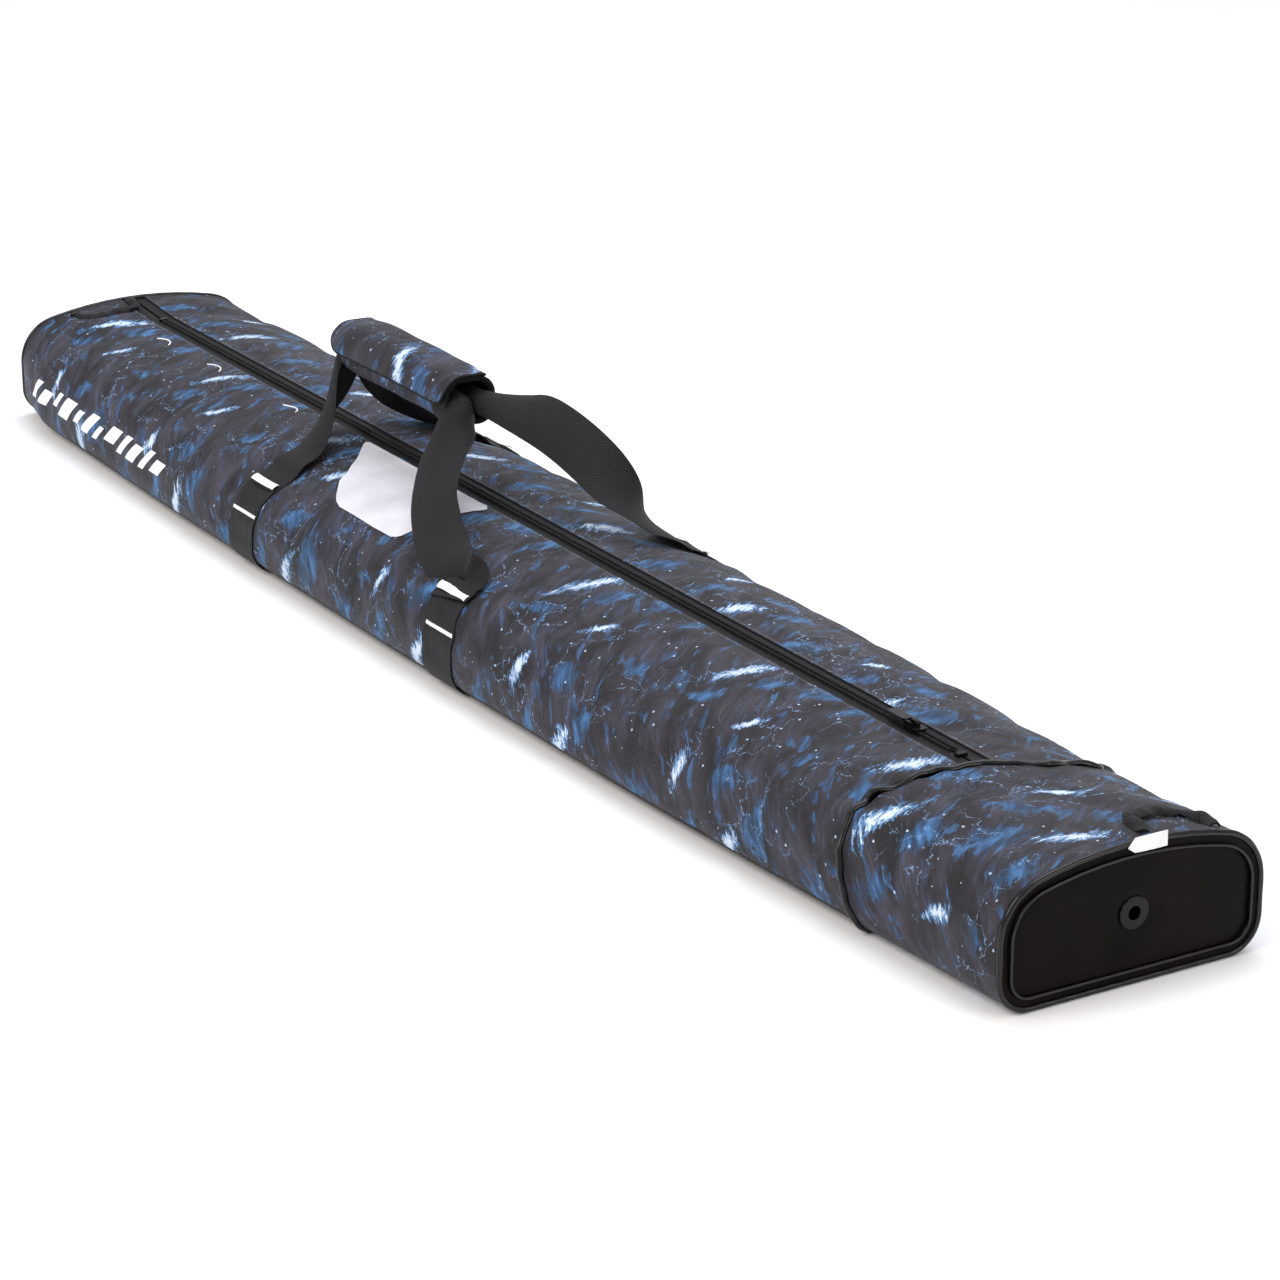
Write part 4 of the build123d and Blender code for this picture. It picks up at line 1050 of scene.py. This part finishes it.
ZIP_FAR = -FABRIC_END + 1
ZIP_NEAR = CUFF_X - 6.0
PARTS = (
    ("middle", OPENING, None),
    ("far_corner", TWIST_FAR, "far"),
    ("near_corner", TWIST_NEAR, "near"),
)
for side, hand, flap in SIDES:
    for part, (x0, x1), end in PARTS:
        rows = (
            (tape(f"{side}_zip_tape_{part}", x0, x1, hand), f"{side}_zip_tape", "zip_tape"),
            (lay_links(f"{side}_zip_coil_{part}", [zip_line(x0, x1, 2.5, 0.2, hand)], coil_turn, 1.5,
                       nylon_coil),
             f"{side}_zip_coil", "zip_coil"),
            (lay_links(f"{side}_zip_stitches_{part}", [zip_line(x0, x1, 15.2, 0.15, hand)], zip_stitch, 4.0,
                       grey_thread), None, None),
        )
        for piece, node, finish in rows:
            if end is None:
                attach(piece, flap)
            else:
                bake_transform(piece)
            stand_in(piece, *([node] if node else []), finish=finish)

STILL = (((ZIP_FAR, MOUTH[0])), ((MOUTH[1], ZIP_NEAR)))
for side, hand, flap in SIDES:
    for end, (x0, x1) in zip(("far", "near"), STILL):
        carry(tape(f"{side}_{end}_closed_tape", x0, x1, hand), "base", "closed_zip_tapes", finish="zip_tape")
still_coils = [zip_line(x0, x1, 2.5, 0.2, hand) for side, hand, flap in SIDES for x0, x1 in
               ((-786.0, MOUTH[0]), (MOUTH[1], 653.0))]
carry(lay_links("closed_coils", still_coils, coil_turn, 1.5, nylon_coil), "base", "closed_zip_coils",
      finish="zip_coil")
still_stitches = [zip_line(x0, x1, 15.2, 0.15, hand) for side, hand, flap in SIDES for x0, x1 in STILL]
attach(lay_links("closed_zip_stitches", still_stitches, zip_stitch, 4.0, grey_thread), "base")

# %% [markdown]
# ## Straps and bar tacks
# Two webbing straps run round the belly, and each one turns into the carrying loops. Webbing is too
# firm to be simulated with the cloth, so it is laid straight on the creased skin, with its edges
# thinned. The near strap leans a little, because its loop pulls it towards the grip. Dense white bar
# tacks hold each strap, so they are rounded ridges of white thread.

# %% Straps
STRAP_TOP = 84.0


def strap_lean(strap, z):
    """How far the loop pulls the strap towards the grip at height z."""
    return np.interp(z, [30, 58, 82, 90], [0, -2, -18, -22]) if strap > 0 else 0 * z


def strap_patch(name, strap, z_edges, across, outer, inner, stuff, half=24.5, crown=0.0):
    """Webbing on the skin between two heights on the front, or all round the belly."""
    share = np.linspace(0, 1, across)[None, :]
    x = strap + np.linspace(-half, half, 13 if crown == 0 else 47)[:, None]
    start = girth_at_z(x, z_edges[0] + 0 * x)
    end = girth_at_z(x, z_edges[1] + 0 * x) if z_edges[1] is not None else 2 * half_girth(x) - start
    if z_edges[2] > 0:
        start, end = 2 * half_girth(x) - end, 2 * half_girth(x) - start
    t = start * (1 - share) + end * share
    place, outward = plain_skin(x + 0 * t, t)
    leant = x + strap_lean(strap, place[..., 2])
    normal = skin_normals(leant, t)
    off = (outer + inner) / 2 + crown * (1 - (2 * share - 1) ** 2)
    body = skin(leant, t) + normal * (off * MM)[..., None]
    half_thick = (outer - inner) / 2 * MM
    pattern = np.stack([x + 0 * t, t], -1) * MM
    return flat_piece(name, body, normal, half_thick, -half_thick, pattern, [stuff], thin_edge=0.7)


for name, strap in zip(("far_strap", "near_strap"), STRAPS):
    belly = strap_patch(f"{name}_webbing", strap, (STRAP_TOP, None, 0), 130, 1.7, 0.2, nylon_webbing)
    carry(belly, "base", name, finish="webbing")
    for side, hand, flap in SIDES:
        for height in (58.0, 81.4):
            tack = strap_patch(f"{name}_{side}_tack_{height:.0f}", strap,
                               (height + 1.5, height - 1.5, hand), 7,
                               *((1.9, 1.5) if height < 70 else (4.1, 3.3)), white_thread, half=23.0,
                               crown=0.6)
            carry(tack, "base", "strap_bar_tacks", finish="bar_tack_thread")
print("straps and bar tacks laid")

# %% [markdown]
# ## Carrying loops
# Each loop is one length of webbing: up from one strap, through the grip, and down to the other strap.
# Free webbing bends only across its face, it twists slowly, and it cups where it is squeezed into the
# grip. A curve with a bevel can't cup, so we give a few stations, with the direction across the
# webbing and how far it is curled, and draw a smooth run through them. The loops don't move with the
# flaps: with the mouth wide open the flaps pass through them. A piece bends between two bodies only.

# %% Webbing through stations
def smooth_run(rows, steps):
    """Catmull-Rom run through rows of numbers."""
    rows = np.array(rows, float)
    padded = np.concatenate([2 * rows[:1] - rows[1:2], rows, 2 * rows[-1:] - rows[-2:-1]])
    out = []
    for k in range(1, len(padded) - 2):
        a, b, c, d = padded[k - 1:k + 3]
        for u in np.linspace(0, 1, steps, endpoint=False):
            out.append(0.5 * (2 * b + (c - a) * u
                              + (2 * a - 5 * b + 4 * c - d) * u**2
                              + (3 * b - a - 3 * c + d) * u**3))
    out.append(rows[-1])
    return np.array(out)


def webbing_run(name, stations, thick, stuff, steps=10, crinkle=0.0, across_points=13):
    """Webbing from stations of place, direction across, width and curl, in millimetres."""
    run = smooth_run([(*place, *across, width, curl) for place, across, width, curl in stations], steps)
    place = run[:, :3]
    tangent = np.gradient(place, axis=0)
    tangent /= np.linalg.norm(tangent, axis=1, keepdims=True)
    across = run[:, 3:6] - tangent * (run[:, 3:6] * tangent).sum(1, keepdims=True)
    across /= np.linalg.norm(across, axis=1, keepdims=True)
    face = np.cross(tangent, across)
    width = run[:, 6][:, None]
    curl = np.maximum(run[:, 7], 0.02)[:, None]
    c = np.linspace(-1, 1, across_points)[None, :]
    radius = width / 2 / curl
    aside = radius * np.sin(c * curl)
    depth = radius * (1 - np.cos(c * curl))
    depth = depth - depth.mean(axis=1, keepdims=True)
    length = np.concatenate([[0], np.cumsum(np.linalg.norm(np.diff(place, axis=0), axis=1))])[:, None]
    wave = (0.35 * ease_noise(length / 24, c * 1.3, len(name))
            + crinkle * ease_noise(length / 2.6, c * 2.2, 21))
    grid = place[:, None] + aside[..., None] * across[:, None] + (wave - depth)[..., None] * face[:, None]
    normal = np.cross(np.gradient(grid, axis=0), np.gradient(grid, axis=1))
    normal /= np.linalg.norm(normal, axis=-1, keepdims=True)
    pattern = np.stack([c * width / 2 + 0 * length, length + 0 * c], -1) * MM
    grid = grid[::-1] * MM
    print(f"{name}: {length[-1, 0]:.0f} mm of webbing")
    return flat_piece(name, grid, normal[::-1], thick / 2 * MM, -thick / 2 * MM, pattern[::-1], [stuff],
                      thin_edge=0.6)


def foot(strap, hand, z, rise):
    """Place on a strap at height z, rise millimetres over the skin, in millimetres."""
    x = np.array(strap + float(strap_lean(strap, np.array(z))))
    g = girth_at_z(x, z)
    t = g if hand < 0 else 2 * half_girth(x) - g
    return tuple(skin(x, t, rise).reshape(3) / MM)


def lying(strap, hand, z, rise, turn):
    """A foot's place, and the direction across it, turned by some degrees in the plane of the cloth."""
    low = np.array(foot(strap, hand, z - 3, rise))
    high = np.array(foot(strap, hand, z + 3, rise))
    up = (high - low) / np.linalg.norm(high - low)
    angle = math.radians(turn)
    return foot(strap, hand, z, rise), tuple(math.cos(angle) * np.array([1.0, 0, 0]) + math.sin(angle) * up)


GRIP_X0, GRIP_X1, GRIP_Z = -331.5, -114.5, 188.0
IN_GRIP = 2.4
far, near = STRAPS
front_loop = [
    (foot(far, -1, 79, 2.6), (-1, 0, 0), 49, 0.03),
    (foot(far, -1, 86, 3.0), (-1, 0, 0), 49, 0.05),
    ((-293, -96, 99), (-1, 0.02, 0), 49, 0.1),
    ((-303, -72, 108), (-0.95, 0.2, 0), 49, 0.2),
    ((-322, -45, 130), (-0.85, 0.5, 0.1), 49, 0.5),
    ((-338, -20, 163), (-0.55, 0.85, 0.1), 49, 1.2),
    ((-334, -11.5, 184), (-0.1, 1, 0), 49, 2.1),
    ((-318, -11, 188), (0, 1, 0), 49, IN_GRIP),
    ((-223, -11, 188), (0, 1, 0), 49, IN_GRIP),
    ((-126, -11, 188), (0, 1, 0), 49, IN_GRIP),
    ((-108, -14, 184), (0.2, 1, 0.1), 49, 1.9),
    ((-98, -28, 168), (0.5, 0.8, 0.25), 49, 1.0),
    ((-80, -50, 150), (0.7, 0.65, 0.3), 49, 0.45),
    ((-46, -76, 129), (0.85, 0.45, 0.3), 49, 0.2),
    ((-12, -91, 113), (0.66, 0.66, 0.45), 49, 0.15),
    ((16, -100, 104), (0.6, 0.7, 0.45), 49, 0.12),
    ((44, -107, 98), (0.68, 0.5, 0.5), 49, 0.08),
    (*lying(near, -1, 90, 3.4, 34), 49, 0.04),
    (*lying(near, -1, 84, 2.9, 14), 49, 0.03),
    (*lying(near, -1, 78, 2.5, 0), 49, 0.03),
]
back_loop = [
    (foot(far, 1, 79, 2.6), (1, 0, 0), 49, 0.03),
    (foot(far, 1, 86, 3.0), (1, 0, 0), 49, 0.05),
    ((-293, 96, 99), (1, 0.02, 0), 49, 0.1),
    ((-303, 72, 108), (0.95, 0.2, 0), 49, 0.2),
    ((-322, 45, 130), (0.85, 0.5, -0.1), 49, 0.5),
    ((-338, 20, 163), (0.55, 0.85, -0.1), 49, 1.2),
    ((-334, 11.5, 184), (0.1, 1, 0), 49, 2.1),
    ((-318, 11, 188), (0, 1, 0), 49, IN_GRIP),
    ((-223, 11, 188), (0, 1, 0), 49, IN_GRIP),
    ((-126, 11, 188), (0, 1, 0), 49, IN_GRIP),
    ((-104, 13, 190), (0, 1, 0.1), 49, 1.7),
    ((-80, 20, 191), (0.02, 0.85, 0.3), 49, 0.8),
    ((-42, 29, 187), (0.05, 0.65, 0.6), 49, 0.3),
    ((-6, 38, 177), (0, 0.6, 0.65), 49, 0.15),
    ((30, 47, 161), (-0.15, 0.6, 0.6), 49, 0.12),
    ((58, 57, 140), (-0.45, 0.5, 0.45), 49, 0.12),
    ((76, 70, 117), (-0.8, 0.25, 0.2), 49, 0.12),
    ((82, 90, 102), (-0.97, 0.05, 0), 49, 0.1),
    (foot(near, 1, 86, 3.2), (-1, 0, 0), 49, 0.05),
    (foot(near, 1, 79, 2.6), (-1, 0, 0), 49, 0.03),
]
for side, stations in (("front", front_loop), ("back", back_loop)):
    loop = webbing_run(f"{side}_carrying_loop", stations, 1.5, nylon_webbing)
    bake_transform(loop)
    stand_in(loop, f"{side}_loop_in_grip", f"{side}_loop_far_leg", f"{side}_loop_near_leg", finish="webbing")

# %% [markdown]
# ## The grip
# The grip is a soft sleeve of the printed cloth over foam, pinched at both ends, and a flap of the same
# cloth closes over its top and front with hook and loop tape. The flap's free corners are round, and a
# dark binding runs along its edge. Sleeve and flap are both grids on one rounded section.

# %% Grip sleeve and flap
def grip_section(g, grow):
    """Place and outward direction on the grip's section, at a girth from the middle of its top."""
    wide, tall, corner = 26.0, 23.0, 18.0
    flat_top, flat_side = wide - corner, tall - corner
    quarter = corner * np.pi / 2
    ends = np.cumsum([flat_top, quarter, 2 * flat_side, quarter, flat_top])
    s = np.abs(g)
    angle = np.select([s < ends[0], s < ends[1], s < ends[2], s < ends[3]],
                      [np.pi / 2 + 0 * s, np.pi / 2 - (s - ends[0]) / corner, 0 * s,
                       -(s - ends[2]) / corner], -np.pi / 2)
    y = np.select([s < ends[0], s < ends[3]], [s, flat_top + corner * np.cos(angle)],
                  flat_top - (s - ends[3]))
    z = np.select([s < ends[1], s < ends[2]], [flat_side + corner * np.sin(angle), flat_side - (s - ends[1])],
                  -flat_side + corner * np.sin(angle))
    hand = np.where(g < 0, -1.0, 1.0)
    place = np.stack([hand * (y + grow * np.cos(angle)), z + grow * np.sin(angle)], -1)
    return place, np.stack([hand * np.cos(angle), np.sin(angle)], -1), ends[-1]


def grip_grid(x, g, grow):
    """Grid round the grip with soft dents; x and g in millimetres."""
    middle = (GRIP_X0 + GRIP_X1) / 2
    pinch = smoothstep(78, 110, np.abs(x - middle))
    dent = 0.7 * ease_noise(x / 21, g / 15, 31) - 1.6 * pinch + grow
    place, normal, half = grip_section(g, 0.0)
    y = place[..., 0] + normal[..., 0] * dent
    z = GRIP_Z + place[..., 1] + normal[..., 1] * dent
    z = z + 1.2 * np.cos((x - middle) / 70)
    grid = np.stack([x + 0 * g, y, z], -1)
    outward = np.stack([0 * (x + g), normal[..., 0] + 0 * x, normal[..., 1] + 0 * x], -1)
    return grid * MM, outward


grip_x = columns(GRIP_X0, GRIP_X1, 3.5)[:, None]
half_round = float(grip_section(np.array([0.0]), 0)[2])
grip_g = np.linspace(half_round - 0.01, -half_round + 0.01, 91)[None, :]
grid, outward = grip_grid(grip_x, grip_g, 0.0)
grip_cut = np.stack([grip_x + 0 * grip_g + 900, grip_g + 0 * grip_x + 60], -1) * MM
sleeve = flat_piece("grip_sleeve", grid, outward, 0.0, -3.4 * MM, grip_cut,
                    [polyester_printed, black_tricot, black_tricot], smooth_normals=False)
carry(sleeve, "handle", "grip_wrap", "grip_pad", finish="printed_fabric")

polyester_binding = grained_material("polyester_binding_folded", "#09090a", "#141416", 1.4, 0.25, 0.55, 0.72,
                                        Specular_IOR_Level=0.2)
for end, x in (("far", GRIP_X0 + 0.4), ("near", GRIP_X1 - 0.4)):
    ring, _ = grip_grid(np.full_like(grip_g[0, :-1], x), grip_g[0, :-1], -0.9)
    edge = tube(f"grip_{end}_edge", ring / MM, 1.7, polyester_binding, waver=0.06)
    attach(edge, "handle")

# Painted shade: a black tricot band round the last 24 mm of the grip's near end darkens it where the loops
# come out.
shade_band_x = columns(GRIP_X1 - 24, GRIP_X1 + 0.6, 2.5)[:, None]
shade_band_grid, shade_band_out = grip_grid(shade_band_x, grip_g, 0.9)
painted_shade_band = flat_piece("grip_end_band", shade_band_grid, shade_band_out, 0.4 * MM, -0.7 * MM, np.stack(
    [shade_band_x + 0 * grip_g, grip_g + 0 * shade_band_x], -1) * MM, [black_tricot], thin_edge=0.5, smooth_normals=False)
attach(painted_shade_band, "handle")

# %% The closing flap
FLAP_X0, FLAP_X1 = GRIP_X0 - 3.0, GRIP_X1 + 3.0
flap_girths = np.linspace(14.0, -41.0, 30)
from_edge = flap_girths - flap_girths[-1]
corner_cut = 15 - np.sqrt(np.clip(15**2 - np.clip(15 - from_edge, 0, 15) ** 2, 0, None))
flap_share = np.linspace(0, 1, 70)[:, None]
flap_x = (FLAP_X0 + corner_cut)[None, :] * (1 - flap_share) + (FLAP_X1 - corner_cut)[None, :] * flap_share
flap_g = flap_girths[None, :] + 0 * flap_share
lift = (3.5 + 1.5 * smoothstep(-20, -41, flap_g)
        + 2.0 * smoothstep(FLAP_X0 + 45, FLAP_X0, flap_x) * smoothstep(0, -30, flap_g))
flap_grid, flap_out = grip_grid(flap_x, flap_g, lift)
flap_cut = np.stack([flap_x + 620, flap_g + 300], -1) * MM
grip_cover = flat_piece("grip_closing_flap", flap_grid, flap_out, 0.9 * MM, -0.9 * MM, flap_cut,
                        [polyester_printed, black_tricot, black_tricot], smooth_normals=False)
carry(grip_cover, "handle_flap", "grip_flap", finish="printed_fabric")
edge_line = np.concatenate([flap_grid[0, :, :], flap_grid[:, -1, :], flap_grid[-1, ::-1, :]])
steps = np.linalg.norm(np.diff(edge_line, axis=0), axis=1) > 1e-6
edge_line = edge_line[np.concatenate([[True], steps])] / MM
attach(tube("flap_binding", edge_line, 1.35, polyester_binding, closed=False, waver=0.08), "handle_flap")

for name, node, body, off in (("loop_tape", "grip_loop_strip", "handle", 0.9),
                              ("hook_tape", "grip_hook_strip", "handle_flap", 2.1)):
    strip_x = columns(GRIP_X0 + 14, GRIP_X1 - 26, 3.0)[:, None]
    strip_g = np.linspace(-22, -36, 9)[None, :]
    strip, strip_out = grip_grid(strip_x, strip_g, off)
    nap = flat_piece(f"grip_{name}", strip, strip_out, 0.4 * MM, -0.4 * MM, np.stack(
        [strip_x + 0 * strip_g, strip_g + 0 * strip_x], -1) * MM, [hook_loop], smooth_normals=False)
    carry(nap, body, node, finish="hook_and_loop")
print("grip made")

# %% [markdown]
# ## Patch, printed bars and small marks
# A white film patch for an address is sewn on the front flap, under the near leg of the front loop. Low
# on the front side the real bag has lettering; here plain slanted bars take its place. Three short white
# arcs lie beside the zip. What they are for is not known; they are drawn as thread.

# %% Address patch
def rounded_span(low, high, left, right, radius):
    """Left and right limits at each row, drawn in beside the first and last row."""
    from_end = np.minimum(low, high)
    cut = radius - np.sqrt(np.clip(radius**2 - np.clip(radius - from_end, 0, radius) ** 2, 0, None))
    return left + cut, right - cut


patch_y = np.linspace(15.5, 108.0, 32)
left = np.interp(patch_y, [15.5, 50, 70, 84, 108], [-296, -250, -226, -214, -176])
left, right = rounded_span(patch_y - 15.5, 108.0 - patch_y, left,
                           np.interp(patch_y, [15, 60, 108], [-48, -53, -57]), 9)
patch_share = np.linspace(0, 1, 90)[:, None]
patch_x = left[None, :] * (1 - patch_share) + right[None, :] * patch_share
patch_t = girth_at_y(patch_x, patch_y[None, :] + 0 * patch_x)
patch = skin_piece("address_patch", patch_x, patch_t, 0.9, 0.15, [patch_film], thin_edge=0.7)
carry(patch, "front_flap", "id_patch", finish="patch")
hem_rows = [(1, slice(2, 88)), (30, slice(2, 88))]
hem_lines = [skin(patch_x[s, row], patch_t[s, row], 0.95) for row, s in hem_rows]
hem_lines += [skin(patch_x[col, 1:31], patch_t[col, 1:31], 0.95) for col in (1, 88)]
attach(lay_links("patch_stitches", hem_lines, zip_stitch, 3.8, white_thread), "front_flap")

# %% Slanted bars in place of lettering
bar_left = -822.0
BARS = ((13, 0, 24), (20, 6, 24), (11, 0, 18), (26, 0, 24), (12, 4, 20), (18, 0, 24), (10, 8, 24),
        (24, 0, 19), (13, 0, 24),
        (20, 3, 24), (12, 0, 24), (22, 5, 21))
for number, (wide, top, bottom) in enumerate(BARS):
    bar_share = np.linspace(0, 1, 7)[:, None]
    fall = np.linspace(top, bottom, 9)[None, :]
    x = bar_left + wide * bar_share + 26 * (1 - fall / 24)
    t = girth_at_z(x, 61 - fall + 0 * x)
    bar = skin_piece(f"printed_bar_{number}", x, t, 0.22, 0.05, [transfer_film])
    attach(bar, "base")
    bar_left += wide + 12

# %% Thread arcs beside the zip
for number, (x, y) in enumerate(((-708, 35), (-593, 32), (-425, 29))):
    swing = np.linspace(-1, 1, 15)
    arc_x = x + 14 * swing
    arc_t = girth_at_y(arc_x, y - 7 * (1 - swing**2) + 3.5)
    arc = tube(f"thread_arc_{number}", skin(arc_x, arc_t, 0.5) / MM, 0.75, white_thread, closed=False)
    if x < OPENING[0]:
        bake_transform(arc)
    else:
        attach(arc, "front_flap")

# %% [markdown]
# ## Haul loops and care label
# At both rims a short loop of gathered webbing lies on the top, crumpled from use, and the near end
# has a small white label in its seam, with one pointed end.

# %% Haul loops and label
def haul_loop(name, end_x, way, y, body, node):
    """A crumpled loop that lies on the top by an end panel."""
    places = [(0, -32), (-13, -31), (-26, -26), (-31, -10), (-31, 10), (-26, 26), (-13, 31), (0, 32)]
    hump = (2.2, 3.6, 4.8, 4.0, 4.6, 3.6, 4.4, 2.2)
    stations = []
    for k, ((dx, dy), rise) in enumerate(zip(places, hump)):
        x = end_x + way * dx
        top = plain_skin(np.array(float(x)), girth_at_y(np.array(float(x)), np.array(abs(y + dy))))[0][2]
        before, after = places[max(0, k - 1)], places[min(7, k + 1)]
        along = np.array([way * (after[0] - before[0]), after[1] - before[1], 0.0])
        across = (-along[1] / np.linalg.norm(along), along[0] / np.linalg.norm(along), 0.35 * (-1) ** k)
        stations.append(((x, y + dy, top + rise), across, 13, 0.9))
    loop = webbing_run(name, stations, 1.6, nylon_webbing, steps=9, crinkle=1.1, across_points=11)
    carry(loop, body, node, finish="webbing")


haul_loop("near_rim_loop", 863.0, 1, 48.0, "near_loop", "near_haul_loop")
haul_loop("far_rim_loop", -863.0, -1, -40.0, "far_loop", "far_haul_loop")

label_y = np.linspace(-9, 26, 19)[:, None]
label_share = np.linspace(0, 1, 9)[None, :]
label_low = np.interp(label_y, [-9, -3, 26], [109, 104.8, 104.6])
label_high = np.interp(label_y, [-9, -3, 26], [110, 116.6, 116.6])
label_z = label_high * (1 - label_share) + label_low * label_share
label_x = 875.7 + 0.5 * np.sin(label_y / 9) * label_share + 0 * label_z
label_grid = np.stack([label_x, label_y + 0 * label_z, label_z], -1) * MM
label_out = np.zeros_like(label_grid)
label_out[..., 0] = 1.0
label_cut = np.stack([label_y + 0 * label_z, label_z], -1) * MM
label = flat_piece("care_label", label_grid[::-1], label_out, 0.25 * MM, -0.25 * MM, label_cut[::-1],
                   [white_satin], smooth_normals=False)
carry(label, "base", "care_tag", finish="tag")

# %% [markdown]
# ## Hard parts
# Slider, link, pull tab, stops and eyelet keep their CAD shapes, because they are hard and exact. Each
# gets the finish it is made with: die casting, lacquer or moulded vinyl.

# %% Finishes of the CAD parts
HARD = {
    "zip_slider": black_zinc,
    "pull_link": black_zinc,
    "zip_stops": black_zinc,
    "pull_tab": soft_pvc,
    "drain_eyelet": lacquered_eyelet,
    "drain_washer": lacquered_eyelet,
}
for node, stuff in HARD.items():
    part = bpy.data.objects[node]
    part.data.materials.clear()
    part.data.materials.append(stuff)

# %% [markdown]

# %% [markdown]
# ## Stage, light and camera
# The bag lies on a plain pale floor in soft studio light: a wide key from the front left, a top light
# along the bag, and a low fill on the near end. The camera is a long lens from a standing person's
# height, so the bag runs away from the eye without much distortion.

# %% Stage, light and camera
floor_mesh = bpy.data.meshes.new("floor")
floor_mesh.from_pydata([(-30, -30, 0), (30, -30, 0), (30, 30, 0), (-30, 30, 0)], [], [(0, 1, 2, 3)])
floor = bpy.data.objects.new("floor", floor_mesh)
bpy.context.scene.collection.objects.link(floor)
pale_floor, _, floor_shader = fresh_material("paper_backdrop", Roughness=0.9, Specular_IOR_Level=0.1)
floor_shader.inputs["Base Color"].default_value = paint("#fbfbfb")
floor_mesh.materials.append(pale_floor)

world = bpy.data.worlds.new("studio")
bpy.context.scene.world = world
world.use_nodes = True
world.node_tree.nodes["Background"].inputs["Color"].default_value = paint("#f4f6fa")
world.node_tree.nodes["Background"].inputs["Strength"].default_value = 0.7


def soft_light(name, place, aim, size, power, tint):
    """A square soft box at a place, turned to its aim."""
    lamp = bpy.data.lights.new(name, "AREA")
    lamp.shape = "SQUARE"
    lamp.size = size
    lamp.energy = power
    lamp.color = paint(tint)[:3]
    box = bpy.data.objects.new(name, lamp)
    box.location = place
    box.rotation_euler = (Vector(aim) - Vector(place)).to_track_quat("-Z", "Y").to_euler()
    bpy.context.scene.collection.objects.link(box)


soft_light("key", (0.6, -3.4, 3.2), (0, 0, 0.05), 2.6, 120, "#fff8f0")
soft_light("top", (-0.6, 0.8, 3.6), (0, 0, 0.1), 3.2, 90, "#f2f6ff")
soft_light("fill", (3.6, 1.2, 1.6), (0.6, 0, 0.05), 1.8, 30, "#fff2e6")

camera = bpy.data.objects.new("camera", bpy.data.cameras.new("camera"))
camera.data.lens = 110
camera.data.sensor_width = 36
camera.data.clip_end = 100
heading, dip = math.radians(31), math.radians(20)
forward = Vector((-math.cos(heading) * math.cos(dip), math.sin(heading) * math.cos(dip), -math.sin(dip)))
camera.location = (2.895, -1.628, 1.201)
camera.rotation_euler = forward.to_track_quat("-Z", "Y").to_euler()
bpy.context.scene.collection.objects.link(camera)
bpy.context.scene.camera = camera
bpy.context.scene.view_settings.view_transform = "Standard"

# %% [markdown]
# ## Tidy up
# The coil turn and the two stitches were only patterns for the laying tree, so they are removed.

# %% Remove the link patterns
for link in (coil_turn, zip_stitch, tack_stitch):
    bpy.data.objects.remove(link)
